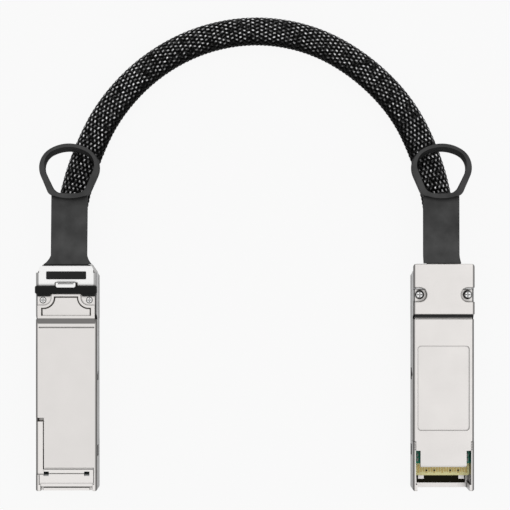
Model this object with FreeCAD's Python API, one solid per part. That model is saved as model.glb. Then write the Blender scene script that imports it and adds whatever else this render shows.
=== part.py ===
"""Short direct attach copper cable: a metal plug at each end of a braided sleeve.

Both plugs lie flat with their noses towards -Y. The left plug shows its key side, the right plug
its label side. The sleeve leaves both plugs at the rear and arches between them.

World frame: +X from the left plug to the right plug, +Y from the noses to the pull rings, +Z up.
The origin lies on the surface under the plugs, midway between them and midway along them.

A plug is drawn with u across it, v from the front of its nose to its rear and z up from the
surface, all measured from the middle of its nose. The body halves are drawn with their label face
at z = 0, and flipped() turns them over for the plug that lies label side up.
"""
import FreeCAD, Part
import math
import os

V = FreeCAD.Vector

# ---- Driving dimensions, mm -------------------------------------------------------------------
NEAR = 0.01                 # two faces or edges this close count as the same place
PLUG_SPACING = 113.2        # centre line to centre line
PLUG_WIDTH = 18.35
PLUG_HEIGHT = 8.5
BODY_LENGTH = 51.6          # slides into a cage
HEAD_LENGTH = 16.4          # stays outside the cage
FACE_WALL = 1.3             # walls of the key face and the label face
SIDE_WALL = 1.5
BULKHEAD = 1.6              # wall between the hollow body and the head
SPLIT_LEVEL = 3.6           # parting plane above the label face; the card lies on it
LONG_EDGE_BEVEL = 0.65

# Nose of the key-side half
RAIL_WALL = 0.85
RAIL_LENGTH = 14.9
RAIL_TIP_BEVEL = 0.35
POST_WIDTH = 1.35           # the rails thicken into posts at the nose
POST_LENGTH = 1.9
POST_RADIUS = 0.6
LIP_END = 1.4               # where the lip meets the step of the face
LIP_LEVEL_DROP = 0.95
LIP_BAR_WIDTH = 13.8
LIP_BAR_START = 0.2
LIP_BAR_LENGTH = 0.75
LIP_BAR_HEIGHT = 0.5
FACE_STEP_LENGTH = 1.1
FACE_STEP_DROP = 0.3
INNER_RECESS_WIDTH = 13.2   # shallow recess on the inside of the face, ahead of the card
INNER_RECESS_START = 1.6
INNER_RECESS_LENGTH = 2.9
INNER_RECESS_DEPTH = 0.4
BOSS_SPACING = 12.3         # low bosses that stand in it
BOSS_WIDTH = 1.75
BOSS_START = 2.85
BOSS_LENGTH = 1.1
BOSS_HEIGHT = 0.6
NOSE_HOLE_SPACING = 12.2
NOSE_HOLE_WIDTH = 1.6
NOSE_HOLE_LENGTH = 1.3
NOSE_HOLE_START = 4.6
CROSS_GROOVE_START = 6.45
CROSS_GROOVE_WIDTH = 0.6
CROSS_GROOVE_DEPTH = 0.35
FINE_GROOVE_START = 5.15    # between the nose holes
FINE_GROOVE_WIDTH = 0.3
FINE_GROOVE_DEPTH = 0.25
EDGE_GROOVE_START = 2.5     # beside the rails
EDGE_GROOVE_LENGTH = 4.2
KEY_GROOVE_START = 4.95
KEY_GROOVE_LENGTH = 17.1
KEY_GROOVE_WIDTH = 2.45
KEY_GROOVE_DEPTH = 0.65
KEY_SLOT_WIDTH = 0.4        # deeper slot along the inner side of the key groove
KEY_SLOT_DEPTH = 1.05
KEY_HOLE_LENGTH = 1.2       # deep pocket at the rear end of the key groove
KEY_HOLE_DEPTH = 2.0
END_GROOVE_SETBACK = 2.65   # shallow groove across the key face ahead of the head
END_GROOVE_WIDTH = 0.4
END_GROOVE_DEPTH = 0.3
RIB_COUNT = 5               # small earthing ribs on the rails beside the neck
RIB_PITCH = 0.55
RIB_HEIGHT = 0.2

# Pockets in both sides for the latches of the cage
SIDE_POCKETS = ((10.3, 3.4, 0.35), (33.2, 3.6, 0.75))       # start, length, depth
SIDE_POCKET_LOW = 4.0
SIDE_POCKET_HEIGHT = 3.2

# Label-side half
TONGUE_START = 7.2
TONGUE_WIDTH = 13.8
TONGUE_BEVEL = 0.45
NECK_START = 12.15
NECK_GAP = 0.1
RECESS_WIDTH = 15.6
RECESS_START = 18.15
RECESS_LENGTH = 25.5
RECESS_DEPTH = 0.35
RECESS_RADIUS = 1.0

# Paddle card
CARD_WIDTH = 16.4
CARD_TAIL_WIDTH = 15.1
CARD_THICKNESS = 1.0
CARD_FRONT = 4.3
CARD_NECK = 14.6            # where the card narrows
CARD_END = 32.0
CARD_BEVEL = 0.35
EDGE_BEVEL_LENGTH = 0.7     # sloped front edge of the card
EDGE_BEVEL_DEPTH = 0.28
LEDGE_WIDTH = 0.95
LEDGE_START = 16.2
LEDGE_LENGTH = 13.5
PAD_COUNT = 19
PAD_PITCH = 0.8
PAD_WIDTH = 0.54
PAD_LENGTH = 1.9
PAD_THICKNESS = 0.06
PAD_START = 5.05            # the ground pads, every third one, start earlier and end later
GROUND_PAD_EXTRA = 0.35

# Small parts on the label side of the card
CHIP_START = 18.0
CHIP_WIDTH = 3.0
CHIP_LENGTH = 2.2
CHIP_HEIGHT = 0.75
LEG_COUNT = 4
LEG_PITCH = 0.5
LEG_WIDTH = 0.25
LEG_REACH = 0.5
LEG_THICKNESS = 0.3
CAPACITOR_WIDTH = 0.5
CAPACITOR_LENGTH = 0.9
CAPACITOR_HEIGHT = 0.45
CAPACITOR_STARTS = (8.6, 10.0)          # beside the tongue, where the card shows
INNER_CAPACITOR_SPACING = 7.0           # beside the chip
INNER_CAPACITOR_START = 18.5

# Head; a setback is measured from the front of the head to the rear, a rise from the body's top
CAVITY_WIDTH = 9.6
CAVITY_FLOOR = 0.6
CAVITY_COVER = 1.7          # from the roof of the cavity to the body's top
DECK_RISE = {"left": 0.1, "right": -0.25}       # surface that the slider runs over
REAR_CORNER_WIDTH = 1.5     # slanted rear corners
REAR_CORNER_LENGTH = 2.2
SKIRT_CORNER = 1.0          # slanted rear end of the full-width skirt below the arms
RIM_RISE = 1.0              # left plug: raised rim round the pocket
WING_DROP = 0.45            # left plug: screw wings below the rim
POCKET_DEPTH = 0.3
RIM_SETBACK = 0.33
RIM_SLOPE_LENGTH = 1.65
RIM_LENGTH = 7.6            # to its rear edge, from the front of the head
RIM_BAND = 0.7
RIM_NOTCH_RADIUS = 2.4
RIM_NOTCH_SPACING = 13.5
RIM_NOTCH_SETBACK = 6.6
POCKET_MARGIN = 1.1         # rim beside and ahead of the pocket
MOAT_WIDTH = 0.42           # deep groove round three sides of the pocket
MOAT_DEPTH = 1.0
PLATFORM_SETBACK = 1.55     # right plug: seat of the cover plate
PLATFORM_LENGTH = 7.15
PLATFORM_RISE = 0.5
COVER_THICKNESS = 0.7
COVER_OVERHANG = 0.25
COVER_CORNER = 0.9
COVER_EDGE_BEVEL = 0.2
COVER_PEG_RADIUS = 0.6
COVER_PEG_LENGTH = 1.5
COVER_PEG_SPACING = 7.0
COVER_PEG_SETBACK = 3.4
GASKET_WIDTH = 1.05
GASKET_SINK = 0.35
SCREW_SPACING = {"left": 13.9, "right": 14.4}
SCREW_SETBACK = {"left": 5.8, "right": 7.4}
SCREW_HEAD_RADIUS = {"left": 1.0, "right": 1.3}
SCREW_HEAD_HEIGHT = {"left": 0.45, "right": 1.0}
SCREW_RIM_SHARE = 0.4       # right plug: straight part of the head's height
SCREW_SHANK_RADIUS = 0.6
SCREW_TIP_LEVEL = 1.5
CROSS_SLOT_WIDTH = 0.28
CROSS_SLOT_REACH = 0.6      # share of the head's radius
SCREW_NOTCH_RADIUS = 2.15   # right plug: notch in the cover round each screw
SCREW_NOTCH_DROP = 0.8      # right plug: seat of the screw heads below the platform

# Release slider, one bent sheet
SHEET = 0.45
SLIDE_CLEARANCE = 0.12      # between the arms and the housing
SKIN = 0.03                 # the arms lie this far inside the sides of the plug
DECK_CLEARANCE = 0.15       # between the plate and the deck
PLATE_SETBACK = 9.1
PLATE_LENGTH = 6.95
PLATE_TAIL_WIDTH = 16.2
PLATE_CORNER = 0.9
ARM_REAR_SETBACK = 14.0
ARM_STEP_SETBACK = 0.2      # ahead of it the arms are low enough to enter the cage
ARM_STEP_CORNER = 1.2
ARM_FRONT = 34.6
ARM_LOW = 4.4
ARM_HIGH = 6.8
ARM_TIP = 1.6               # length of the thinned tip
SLOT_WIDTH = 12.0
SLOT_SETBACK = 12.0
SLOT_LENGTH = 2.4
SLOT_CORNER = 0.3
HOOK_WIDTH = 5.85           # left plug: bent tongue that holds the cross bar
HOOK_SETBACK = 9.6
HOOK_LENGTH = 1.45
HOOK_CORNER = 0.6
HOOK_SLIT_WIDTH = 0.3       # slit along the hook's back
HOOK_SLIT_DEPTH = 0.25
HOOK_SLIT_SETBACK = 10.55
RELIEF_WIDTH = 0.5          # slots in the plate beside the hook
RELIEF_LENGTH = 1.5

# Cross bar of the left plug
BAR_SETBACK = 7.7
BAR_LENGTH = 2.4
BAR_HEIGHT = 1.55
BAR_OVERHANG = 0.1
BAR_EDGE_RADIUS = 0.45
BAR_END_BEVEL = 0.3
FOOT_START = 4.85           # the bar's ends have feet that reach forward over the screw wings
FOOT_WIDTH = 3.75
FOOT_LENGTH = 0.75
FOOT_HEIGHT = 0.8
FOOT_CLEARANCE = 0.15

# Return springs
SPRING_RADIUS = 1.0         # outside
SPRING_WIRE = 0.3           # square wire
SPRING_TURNS = 4
SPRING_STEPS = 12           # straight bits in a turn
SPRING_SPACING = 13.4
SPRING_POCKET_SETBACK = 15.0
SPRING_ROOM = 0.12          # between a spring and its pocket
LUG_WIDTH = 1.5

# Cable clamp and wires
CLAMP_SETBACK = 3.4
CLAMP_LENGTH = 7.0
CLAMP_GAP = 0.1
CLAMP_BEVEL = 0.8
FLANGE_WIDTH = 11.0
FLANGE_SETBACK = 8.6
FLANGE_LENGTH = 1.2
FLANGE_CLEARANCE = 0.08
WIRE_COUNT = 4              # pairs on each face of the card
WIRE_PITCH = 2.1
WIRE_WIDTH = 1.7
WIRE_HEIGHT = 0.9
SOLDER_LENGTH = 3.0

# Pull tab
STRAP_WIDTH = 10.8
STRAP_THICKNESS = 1.4
STRAP_LENGTH = 19.8         # from the rear of the head to the ring
WEB_WIDTH = 9.2
WEB_THICKNESS = 0.5
WEB_RECESS_DEPTH = 0.65
FLARE_WIDTH = {"left": 14.4, "right": 11.2}
FLARE_LENGTH = 2.7
FLARE_HOLLOW = 0.18         # curve of the flare's sides, as a share of its widening
STRAP_SHIFT = {"left": 0.85, "right": -0.72}    # the soft straps lie off centre, towards each other
STRAP_INTO_RING = 1.2
STRAP_INTO_FLARE = 0.3
ROOT_INSET = 0.5            # the thinner root is narrower than the flare on each side
RING_WIDTH = 17.9
RING_LENGTH = 16.4
RING_THICKNESS = 3.2
RING_BELOW_STRAP = 0.3
RING_RADII = (11.0, 6.5, 2.2)           # dome, sides, base corners
RING_CORNER = (4.4, 2.9)                # centre of a base corner, from the strap's end
RING_HOLE_WIDTH = 14.6
RING_HOLE_START = 1.5
RING_HOLE_END = 14.1
RING_HOLE_RADII = (10.5, 4.5, 3.2)
RING_HOLE_CORNER = (2.2, 4.8)
RING_BEVEL = 1.25           # the far wall of the hole slopes back this much towards the top
RING_HOLE_SPREAD = 0.25     # and the hole widens by this
LEAN = {"left": -0.55, "right": 0.1}    # degrees

# Sleeve, an oval tube round the wires
SLEEVE_WIDTH = 9.2
SLEEVE_HEIGHT = 6.0
SLEEVE_SIDE_RADIUS = 2.1
TURN_SHARE = 0.45           # of the shorter run beside a turn that its arc takes up
# Points of its centre line, inwards and onwards from where it leaves each clamp
LEFT_SLEEVE_POINTS = ((0.0, 0.0), (0.0, 12.1), (1.2, 24.6), (5.2, 38.6), (12.2, 53.1),
                      (24.2, 65.9), (39.8, 74.5), (57.4, 77.5))
RIGHT_SLEEVE_POINTS = ((0.0, 0.0), (0.0, 12.1), (1.0, 24.6), (4.6, 38.6), (11.6, 53.3),
                       (23.6, 65.7), (38.4, 74.3))

# ---- Places that follow from the dimensions ---------------------------------------------------
HALF = PLUG_WIDTH / 2
PLUG_LENGTH = BODY_LENGTH + HEAD_LENGTH
RING_START = PLUG_LENGTH + STRAP_LENGTH
NOSE_Y = -(RING_START + RING_LENGTH) / 2
END_GROOVE_START = BODY_LENGTH - END_GROOVE_SETBACK
RIM_FRONT = BODY_LENGTH + RIM_SETBACK
RIM_END = BODY_LENGTH + RIM_LENGTH
PLATFORM_START = BODY_LENGTH + PLATFORM_SETBACK
PLATFORM_END = PLATFORM_START + PLATFORM_LENGTH
PLATE_START = BODY_LENGTH + PLATE_SETBACK
PLATE_END = PLATE_START + PLATE_LENGTH
ARM_REAR = BODY_LENGTH + ARM_REAR_SETBACK
ARM_STEP = BODY_LENGTH + ARM_STEP_SETBACK
SLOT_START = BODY_LENGTH + SLOT_SETBACK
HOOK_START = BODY_LENGTH + HOOK_SETBACK
BAR_START = BODY_LENGTH + BAR_SETBACK
CLAMP_START = BODY_LENGTH + CLAMP_SETBACK
SLEEVE_START = CLAMP_START + CLAMP_LENGTH
FLANGE_START = BODY_LENGTH + FLANGE_SETBACK
SPRING_POCKET_END = BODY_LENGTH + SPRING_POCKET_SETBACK
DECK_LEVEL = {end: PLUG_HEIGHT + rise for end, rise in DECK_RISE.items()}
RIM_LEVEL = PLUG_HEIGHT + RIM_RISE
PLATFORM_LEVEL = PLUG_HEIGHT + PLATFORM_RISE
CAVITY_ROOF = PLUG_HEIGHT - CAVITY_COVER
SLEEVE_LEVEL = (CAVITY_FLOOR + CAVITY_ROOF) / 2
ARM_OUTER = HALF - SKIN
ARM_INNER = ARM_OUTER - SHEET
HEAD_HALF = ARM_INNER - SLIDE_CLEARANCE
HOLLOW_HALF = HALF - SIDE_WALL
CEILING = PLUG_HEIGHT - FACE_WALL
CARD_TOP = SPLIT_LEVEL + CARD_THICKNESS
HEAD_SPLIT = {"left": SPLIT_LEVEL, "right": PLUG_HEIGHT - SPLIT_LEVEL}


# ---- Helpers ----------------------------------------------------------------------------------
def block(u0, u1, v0, v1, z0, z1):
    return Part.makeBox(u1 - u0, v1 - v0, z1 - z0, V(u0, v0, z0))


def strip(half_width, v0, v1, z0, z1):
    """A block centred on the plug's centre line."""
    return block(-half_width, half_width, v0, v1, z0, z1)


def pair(shape):
    """The shape and its mirror image across the centre line, as one list."""
    return [shape, shape.mirror(V(0, 0, 0), V(1, 0, 0))]


def fused(shapes):
    first, *rest = shapes
    return first.multiFuse(rest).removeSplitter() if rest else first


def disc(u, v, z0, z1, radius):
    return Part.makeCylinder(radius, z1 - z0, V(u, v, z0))


def prism(points, z0, z1):
    """A straight-sided outline in plan, raised from z0 to z1."""
    wire = Part.makePolygon([V(u, v, z0) for u, v in points] + [V(*points[0], z0)])
    return Part.Face(wire).extrude(V(0, 0, z1 - z0))


def side_profile(points, half_width):
    """An outline in v and z, extruded across the plug."""
    wire = Part.makePolygon([V(-half_width, v, z) for v, z in points + points[:1]])
    return Part.Face(wire).extrude(V(2 * half_width, 0, 0))


def mirrored_polygon(points):
    """Closes a right-hand outline, given from front to rear, with its mirror image."""
    return points + [(-u, v) for u, v in reversed(points)]


def edges_along(shape, axis, test):
    """Straight edges parallel to an axis whose middle passes the test."""
    found = []
    for edge in shape.Edges:
        if not isinstance(edge.Curve, Part.Line):
            continue
        direction = edge.Curve.Direction
        if abs(direction.dot(axis)) > 0.999 and test(edge.CenterOfMass):
            found.append(edge)
    return found


def eased(shape, radius, axis, test):
    edges = edges_along(shape, axis, test)
    return shape.makeFillet(radius, edges) if edges else shape


def bevelled(shape, width, axis, test):
    edges = edges_along(shape, axis, test)
    return shape.makeChamfer(width, edges) if edges else shape


def flipped(shape):
    """Turns a body half over, so that its key face lies down."""
    turned = shape.copy()
    turned.rotate(V(0, 0, PLUG_HEIGHT / 2), V(0, 1, 0), 180)
    return turned


def placed(shape, end):
    """Moves a plug's piece from the plug's own origin to its place in the world."""
    moved = shape.copy()
    side = -1 if end == "left" else 1
    moved.translate(V(side * PLUG_SPACING / 2, NOSE_Y, 0))
    return moved


def as_body(shape, end):
    """A body half or card, turned the way it lies at this end."""
    return flipped(shape) if end == "right" else shape


# ---- Key-side half of the body ----------------------------------------------------------------
def nose_lip():
    """The low lip ahead of the key face: a bar along its front and a step behind it."""
    inner = HALF - RAIL_WALL
    lip_level = PLUG_HEIGHT - LIP_LEVEL_DROP
    lip = strip(inner, LIP_BAR_START, LIP_END, CEILING, lip_level)
    bar = strip(LIP_BAR_WIDTH / 2, LIP_BAR_START, LIP_BAR_START + LIP_BAR_LENGTH,
                lip_level, lip_level + LIP_BAR_HEIGHT)
    step = strip(inner, LIP_END, LIP_END + FACE_STEP_LENGTH, CEILING, PLUG_HEIGHT - FACE_STEP_DROP)
    return [lip, bar, step]


def nose_posts():
    """The rails' thicker tips, rounded at the outer corners."""
    posts = []
    for post in pair(block(HALF - POST_WIDTH, HALF, 0, POST_LENGTH, 0, PLUG_HEIGHT)):
        posts.append(eased(post, POST_RADIUS, V(0, 0, 1),
                           lambda c: c.y < POST_RADIUS and abs(c.x) > HALF - POST_WIDTH / 2))
    return posts


def face_bosses():
    """Low bosses on the inside of the key face, ahead of the card."""
    middle, half = BOSS_SPACING / 2, BOSS_WIDTH / 2
    return pair(block(middle - half, middle + half, BOSS_START, BOSS_START + BOSS_LENGTH,
                      CEILING - BOSS_HEIGHT, CEILING + INNER_RECESS_DEPTH))


def key_face_cuts():
    """Grooves and holes that are cut into the key face."""
    cuts = pair(block((NOSE_HOLE_SPACING - NOSE_HOLE_WIDTH) / 2,
                      (NOSE_HOLE_SPACING + NOSE_HOLE_WIDTH) / 2,
                      NOSE_HOLE_START, NOSE_HOLE_START + NOSE_HOLE_LENGTH, CEILING, PLUG_HEIGHT))
    key_edge = -HALF + KEY_GROOVE_WIDTH
    key_end = KEY_GROOVE_START + KEY_GROOVE_LENGTH
    key = block(-HALF, key_edge, KEY_GROOVE_START, key_end,
                PLUG_HEIGHT - KEY_GROOVE_DEPTH, PLUG_HEIGHT)
    key_slot = block(key_edge - KEY_SLOT_WIDTH, key_edge, CROSS_GROOVE_START, key_end,
                     PLUG_HEIGHT - KEY_SLOT_DEPTH, PLUG_HEIGHT)
    key_hole = block(-HALF + KEY_SLOT_WIDTH, key_edge, key_end - KEY_HOLE_LENGTH, key_end,
                     PLUG_HEIGHT - KEY_HOLE_DEPTH, PLUG_HEIGHT)
    cross = block(key_edge, HALF - RAIL_WALL, CROSS_GROOVE_START,
                  CROSS_GROOVE_START + CROSS_GROOVE_WIDTH,
                  PLUG_HEIGHT - CROSS_GROOVE_DEPTH, PLUG_HEIGHT)
    fine = strip((NOSE_HOLE_SPACING - NOSE_HOLE_WIDTH) / 2, FINE_GROOVE_START,
                 FINE_GROOVE_START + FINE_GROOVE_WIDTH, PLUG_HEIGHT - FINE_GROOVE_DEPTH,
                 PLUG_HEIGHT)
    inner = HALF - RAIL_WALL
    cuts += pair(block(inner - FINE_GROOVE_WIDTH, inner, EDGE_GROOVE_START,
                       EDGE_GROOVE_START + EDGE_GROOVE_LENGTH, PLUG_HEIGHT - FINE_GROOVE_DEPTH,
                       PLUG_HEIGHT))
    end = strip(HALF - RAIL_WALL, END_GROOVE_START, END_GROOVE_START + END_GROOVE_WIDTH,
                PLUG_HEIGHT - END_GROOVE_DEPTH, PLUG_HEIGHT)
    return cuts + [key, key_slot, key_hole, cross, fine, end]


def rail_ribs():
    """Small ribs across the label-side edge of each rail, beside the neck."""
    ribs = []
    for index in range(RIB_COUNT):
        front = NECK_START + index * RIB_PITCH
        profile = [(front, 0), (front + RIB_PITCH / 2, RIB_HEIGHT), (front + RIB_PITCH, 0)]
        wire = Part.makePolygon([V(HALF - RAIL_WALL, v, z) for v, z in profile + profile[:1]])
        ribs += pair(Part.Face(wire).extrude(V(RAIL_WALL, 0, 0)))
    return ribs


def side_pockets():
    """Recesses in both sides of the body for the latches of the cage."""
    pockets = []
    for start, length, depth in SIDE_POCKETS:
        pockets += pair(block(HALF - depth, HALF, start, start + length,
                              SIDE_POCKET_LOW, SIDE_POCKET_LOW + SIDE_POCKET_HEIGHT))
    return pockets


def key_body():
    roof = strip(HALF - RAIL_WALL, LIP_END + FACE_STEP_LENGTH, BODY_LENGTH, CEILING, PLUG_HEIGHT)
    rails = pair(block(HALF - RAIL_WALL, HALF, POST_LENGTH, RAIL_LENGTH, 0, PLUG_HEIGHT))
    walls = pair(block(HOLLOW_HALF, HALF, RAIL_LENGTH, BODY_LENGTH, SPLIT_LEVEL, PLUG_HEIGHT))
    ledges = pair(block(HOLLOW_HALF - LEDGE_WIDTH, HOLLOW_HALF, LEDGE_START,
                        LEDGE_START + LEDGE_LENGTH, CARD_TOP, CEILING))
    bulkhead = strip(HOLLOW_HALF, BODY_LENGTH - BULKHEAD, BODY_LENGTH, SPLIT_LEVEL, CEILING)
    recess = strip(INNER_RECESS_WIDTH / 2, INNER_RECESS_START,
                   INNER_RECESS_START + INNER_RECESS_LENGTH, CEILING, CEILING + INNER_RECESS_DEPTH)
    roof = fused([roof] + nose_lip()).cut(recess)
    body = fused([roof, bulkhead] + nose_posts() + face_bosses() + rails + walls + ledges)
    body = bevelled(body, RAIL_TIP_BEVEL, V(1, 0, 0),
                    lambda c: c.y < NEAR and abs(c.x) > HALF - POST_WIDTH)
    body = bevelled(body, LONG_EDGE_BEVEL, V(0, 1, 0),
                    lambda c: abs(c.x) > HALF - NEAR and c.z > PLUG_HEIGHT - NEAR)
    return body.cut(key_face_cuts() + rail_ribs() + side_pockets())


# ---- Label-side half of the body --------------------------------------------------------------
def label_recess():
    half = RECESS_WIDTH / 2
    recess = strip(half, RECESS_START, RECESS_START + RECESS_LENGTH, 0, RECESS_DEPTH)
    return eased(recess, RECESS_RADIUS, V(0, 0, 1), lambda c: True)


def label_body():
    neck_half = HALF - RAIL_WALL - NECK_GAP
    plate = strip(HALF, RAIL_LENGTH + NECK_GAP, BODY_LENGTH, 0, FACE_WALL)
    neck = strip(neck_half, NECK_START, RAIL_LENGTH + NECK_GAP, 0, FACE_WALL)
    tongue = strip(TONGUE_WIDTH / 2, TONGUE_START, NECK_START, 0, FACE_WALL)
    bevel = side_profile([(TONGUE_START, 0), (TONGUE_START + TONGUE_BEVEL, 0),
                          (TONGUE_START, TONGUE_BEVEL)], HALF)
    walls = pair(block(HOLLOW_HALF, HALF, RAIL_LENGTH + NECK_GAP, BODY_LENGTH,
                       FACE_WALL, SPLIT_LEVEL))
    ledges = pair(block(HOLLOW_HALF - LEDGE_WIDTH, HOLLOW_HALF, LEDGE_START,
                        LEDGE_START + LEDGE_LENGTH, FACE_WALL, SPLIT_LEVEL))
    bulkhead = strip(HOLLOW_HALF, BODY_LENGTH - BULKHEAD, BODY_LENGTH, FACE_WALL, SPLIT_LEVEL)
    body = fused([plate, neck, tongue, bulkhead] + walls + ledges)
    body = bevelled(body, LONG_EDGE_BEVEL, V(0, 1, 0),
                    lambda c: abs(c.x) > HALF - NEAR and c.z < NEAR)
    return body.cut([label_recess(), bevel])


# ---- Head: the part that stays outside the cage -----------------------------------------------
def cavity():
    """Channel for the clamp and the sleeve, open to the hollow body and to the rear."""
    channel = strip(CAVITY_WIDTH / 2, BODY_LENGTH - BULKHEAD, PLUG_LENGTH, CAVITY_FLOOR,
                    CAVITY_ROOF)
    groove = strip(FLANGE_WIDTH / 2 + FLANGE_CLEARANCE, FLANGE_START - FLANGE_CLEARANCE,
                   FLANGE_START + FLANGE_LENGTH + FLANGE_CLEARANCE, CAVITY_FLOOR, CAVITY_ROOF)
    return fused([channel, groove])


def arm_channels():
    """Grooves along both sides of the body for the slider's low arms."""
    front = ARM_FRONT - SLIDE_CLEARANCE
    return pair(block(HEAD_HALF, HALF, front, BODY_LENGTH,
                      ARM_LOW - SLIDE_CLEARANCE, ARM_HIGH + SLIDE_CLEARANCE))


def screw_places(end):
    half, v = SCREW_SPACING[end] / 2, BODY_LENGTH + SCREW_SETBACK[end]
    return [(-half, v), (half, v)]


def screw_holes(end):
    return [disc(u, v, SCREW_TIP_LEVEL, RIM_LEVEL, SCREW_SHANK_RADIUS)
            for u, v in screw_places(end)]


def spring_pockets(end):
    deck = DECK_LEVEL[end]
    half = SPRING_RADIUS + SPRING_ROOM
    middle = SPRING_SPACING / 2
    return pair(block(middle - half, middle + half, PLATE_START - SLIDE_CLEARANCE,
                      SPRING_POCKET_END, deck - 2 * half, deck))


def web_recess(end):
    """Room under the plate for the strap's web."""
    deck = DECK_LEVEL[end]
    return strip((WEB_WIDTH + CAVITY_WIDTH) / 4 + SLIDE_CLEARANCE, SLOT_START - 2 * SLIDE_CLEARANCE,
                 PLUG_LENGTH, deck - WEB_RECESS_DEPTH, deck)


def rim_outline(inset, side_half, front):
    """Outline of the left plug's rim in plan, moved in by an inset, with a hollow at each screw."""
    u, v = RIM_NOTCH_SPACING / 2, BODY_LENGTH + RIM_NOTCH_SETBACK
    radius, top = RIM_NOTCH_RADIUS + inset, RIM_END - inset
    diagonal = radius * math.sqrt(0.5)
    edges = [Part.makeLine(V(radius - u, top, 0), V(u - radius, top, 0)),
             Part.makeLine(V(-side_half, front, 0), V(side_half, front, 0))]
    for side in (-1, 1):
        neck = [V(side * (u - radius), top, 0), V(side * (u - radius), v, 0)]
        hollow = [neck[1], V(side * (u - diagonal), v - diagonal, 0),
                  V(side * u, v - radius, 0)]
        shoulder = [hollow[2], V(side * side_half, v - radius, 0), V(side * side_half, front, 0)]
        edges += Part.makePolygon(neck).Edges + Part.makePolygon(shoulder).Edges
        edges.append(Part.Arc(*hollow).toShape())
    return Part.Face(Part.Wire(Part.__sortEdges__(edges)))


def pocket_cuts():
    """The left head's pocket, with a deep groove along its sides and rear."""
    side_half, front = HEAD_HALF - POCKET_MARGIN, BODY_LENGTH + POCKET_MARGIN
    outer = rim_outline(RIM_BAND, side_half, front)
    inner = rim_outline(RIM_BAND + MOAT_WIDTH, side_half - MOAT_WIDTH, front)
    pocket = outer.extrude(V(0, 0, POCKET_DEPTH))
    pocket.translate(V(0, 0, RIM_LEVEL - POCKET_DEPTH))
    moat = outer.cut(inner).extrude(V(0, 0, MOAT_DEPTH))
    moat.translate(V(0, 0, RIM_LEVEL - MOAT_DEPTH))
    return [pocket, moat]


def left_head_top():
    """Upper half of the left head: sloped front, rim with its pocket, screw wings and deck."""
    split = HEAD_SPLIT["left"]
    wing = RIM_LEVEL - WING_DROP
    slope_start = RIM_FRONT - RIM_SLOPE_LENGTH
    deck = strip(HEAD_HALF, BODY_LENGTH, PLUG_LENGTH, split, DECK_LEVEL["left"])
    wings = strip(HEAD_HALF, BODY_LENGTH, RIM_END, split, wing)
    rim = rim_outline(0, HEAD_HALF, slope_start).extrude(V(0, 0, RIM_LEVEL - PLUG_HEIGHT))
    rim.translate(V(0, 0, PLUG_HEIGHT))
    slope = side_profile([(slope_start, PLUG_HEIGHT), (slope_start, RIM_LEVEL),
                          (RIM_FRONT, RIM_LEVEL)], HALF)
    seats = [disc(u, v, wing - SCREW_HEAD_HEIGHT["left"], wing, SCREW_HEAD_RADIUS["left"])
             for u, v in screw_places("left")]
    return fused([deck, wings, rim]).cut([slope] + pocket_cuts() + seats)


def cover_notches(z0, z1):
    """Notches round the right plug's screws, open to the sides."""
    notches = []
    for u, v in screw_places("right"):
        outer = math.copysign(HALF, u)
        notches.append(disc(u, v, z0, z1, SCREW_NOTCH_RADIUS))
        notches.append(block(min(u, outer), max(u, outer), v - SCREW_NOTCH_RADIUS,
                             v + SCREW_NOTCH_RADIUS, z0, z1))
    return notches


def cover_pegs(z0, z1):
    return pair(disc(COVER_PEG_SPACING / 2, BODY_LENGTH + COVER_PEG_SETBACK, z0, z1,
                     COVER_PEG_RADIUS))


def right_head_top():
    """Upper half of the right head: gasket groove, seat of the cover plate and deck."""
    split = HEAD_SPLIT["right"]
    deck = strip(HEAD_HALF, PLATFORM_END, PLUG_LENGTH, split, DECK_LEVEL["right"])
    front = strip(HEAD_HALF, BODY_LENGTH, PLATFORM_START, split, PLUG_HEIGHT - GASKET_SINK)
    platform = strip(HEAD_HALF, PLATFORM_START, PLATFORM_END, split, PLATFORM_LEVEL)
    seats = cover_notches(PLATFORM_LEVEL - SCREW_NOTCH_DROP, PLATFORM_LEVEL)
    holes = cover_pegs(PLATFORM_LEVEL - COVER_PEG_LENGTH, PLATFORM_LEVEL)
    return fused([deck, front, platform]).cut(seats + holes)


def skirt(z0, z1):
    """Full-width part of the head below the slider's arms, slanted at its rear corners."""
    return prism(mirrored_polygon([(HALF, BODY_LENGTH), (HALF, ARM_REAR - SKIRT_CORNER),
                                   (HEAD_HALF, ARM_REAR)]), z0, z1)


def skirt_parts(end):
    """The skirt's share in the lower and in the upper half."""
    top, split = ARM_LOW - SLIDE_CLEARANCE, HEAD_SPLIT[end]
    if split >= top:
        return [skirt(0, top)], []
    return [skirt(0, split)], [skirt(split, top)]


def head_base(end):
    return strip(HEAD_HALF, BODY_LENGTH, PLUG_LENGTH, 0, HEAD_SPLIT[end])


def rear_corners():
    """What the head's slanted rear corners leave out."""
    start, inner = PLUG_LENGTH - REAR_CORNER_LENGTH, HEAD_HALF - REAR_CORNER_WIDTH
    return pair(prism([(HEAD_HALF, start), (HALF, start), (HALF, PLUG_LENGTH),
                       (inner, PLUG_LENGTH)], 0, RIM_LEVEL))


def head_cuts(end):
    return ([cavity(), web_recess(end)] + arm_channels() + screw_holes(end) + spring_pockets(end)
            + rear_corners())


def shells(end):
    """Lower and upper half of the housing, each with its part of the head."""
    if end == "left":
        lower, upper, top = label_body(), key_body(), left_head_top()
    else:
        lower, upper, top = flipped(key_body()), flipped(label_body()), right_head_top()
    cuts = head_cuts(end)
    lower_skirt, upper_skirt = skirt_parts(end)
    lower = fused([lower, head_base(end)] + lower_skirt).cut(cuts)
    upper = fused([upper, top] + upper_skirt).cut(cuts)
    return lower, upper


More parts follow.
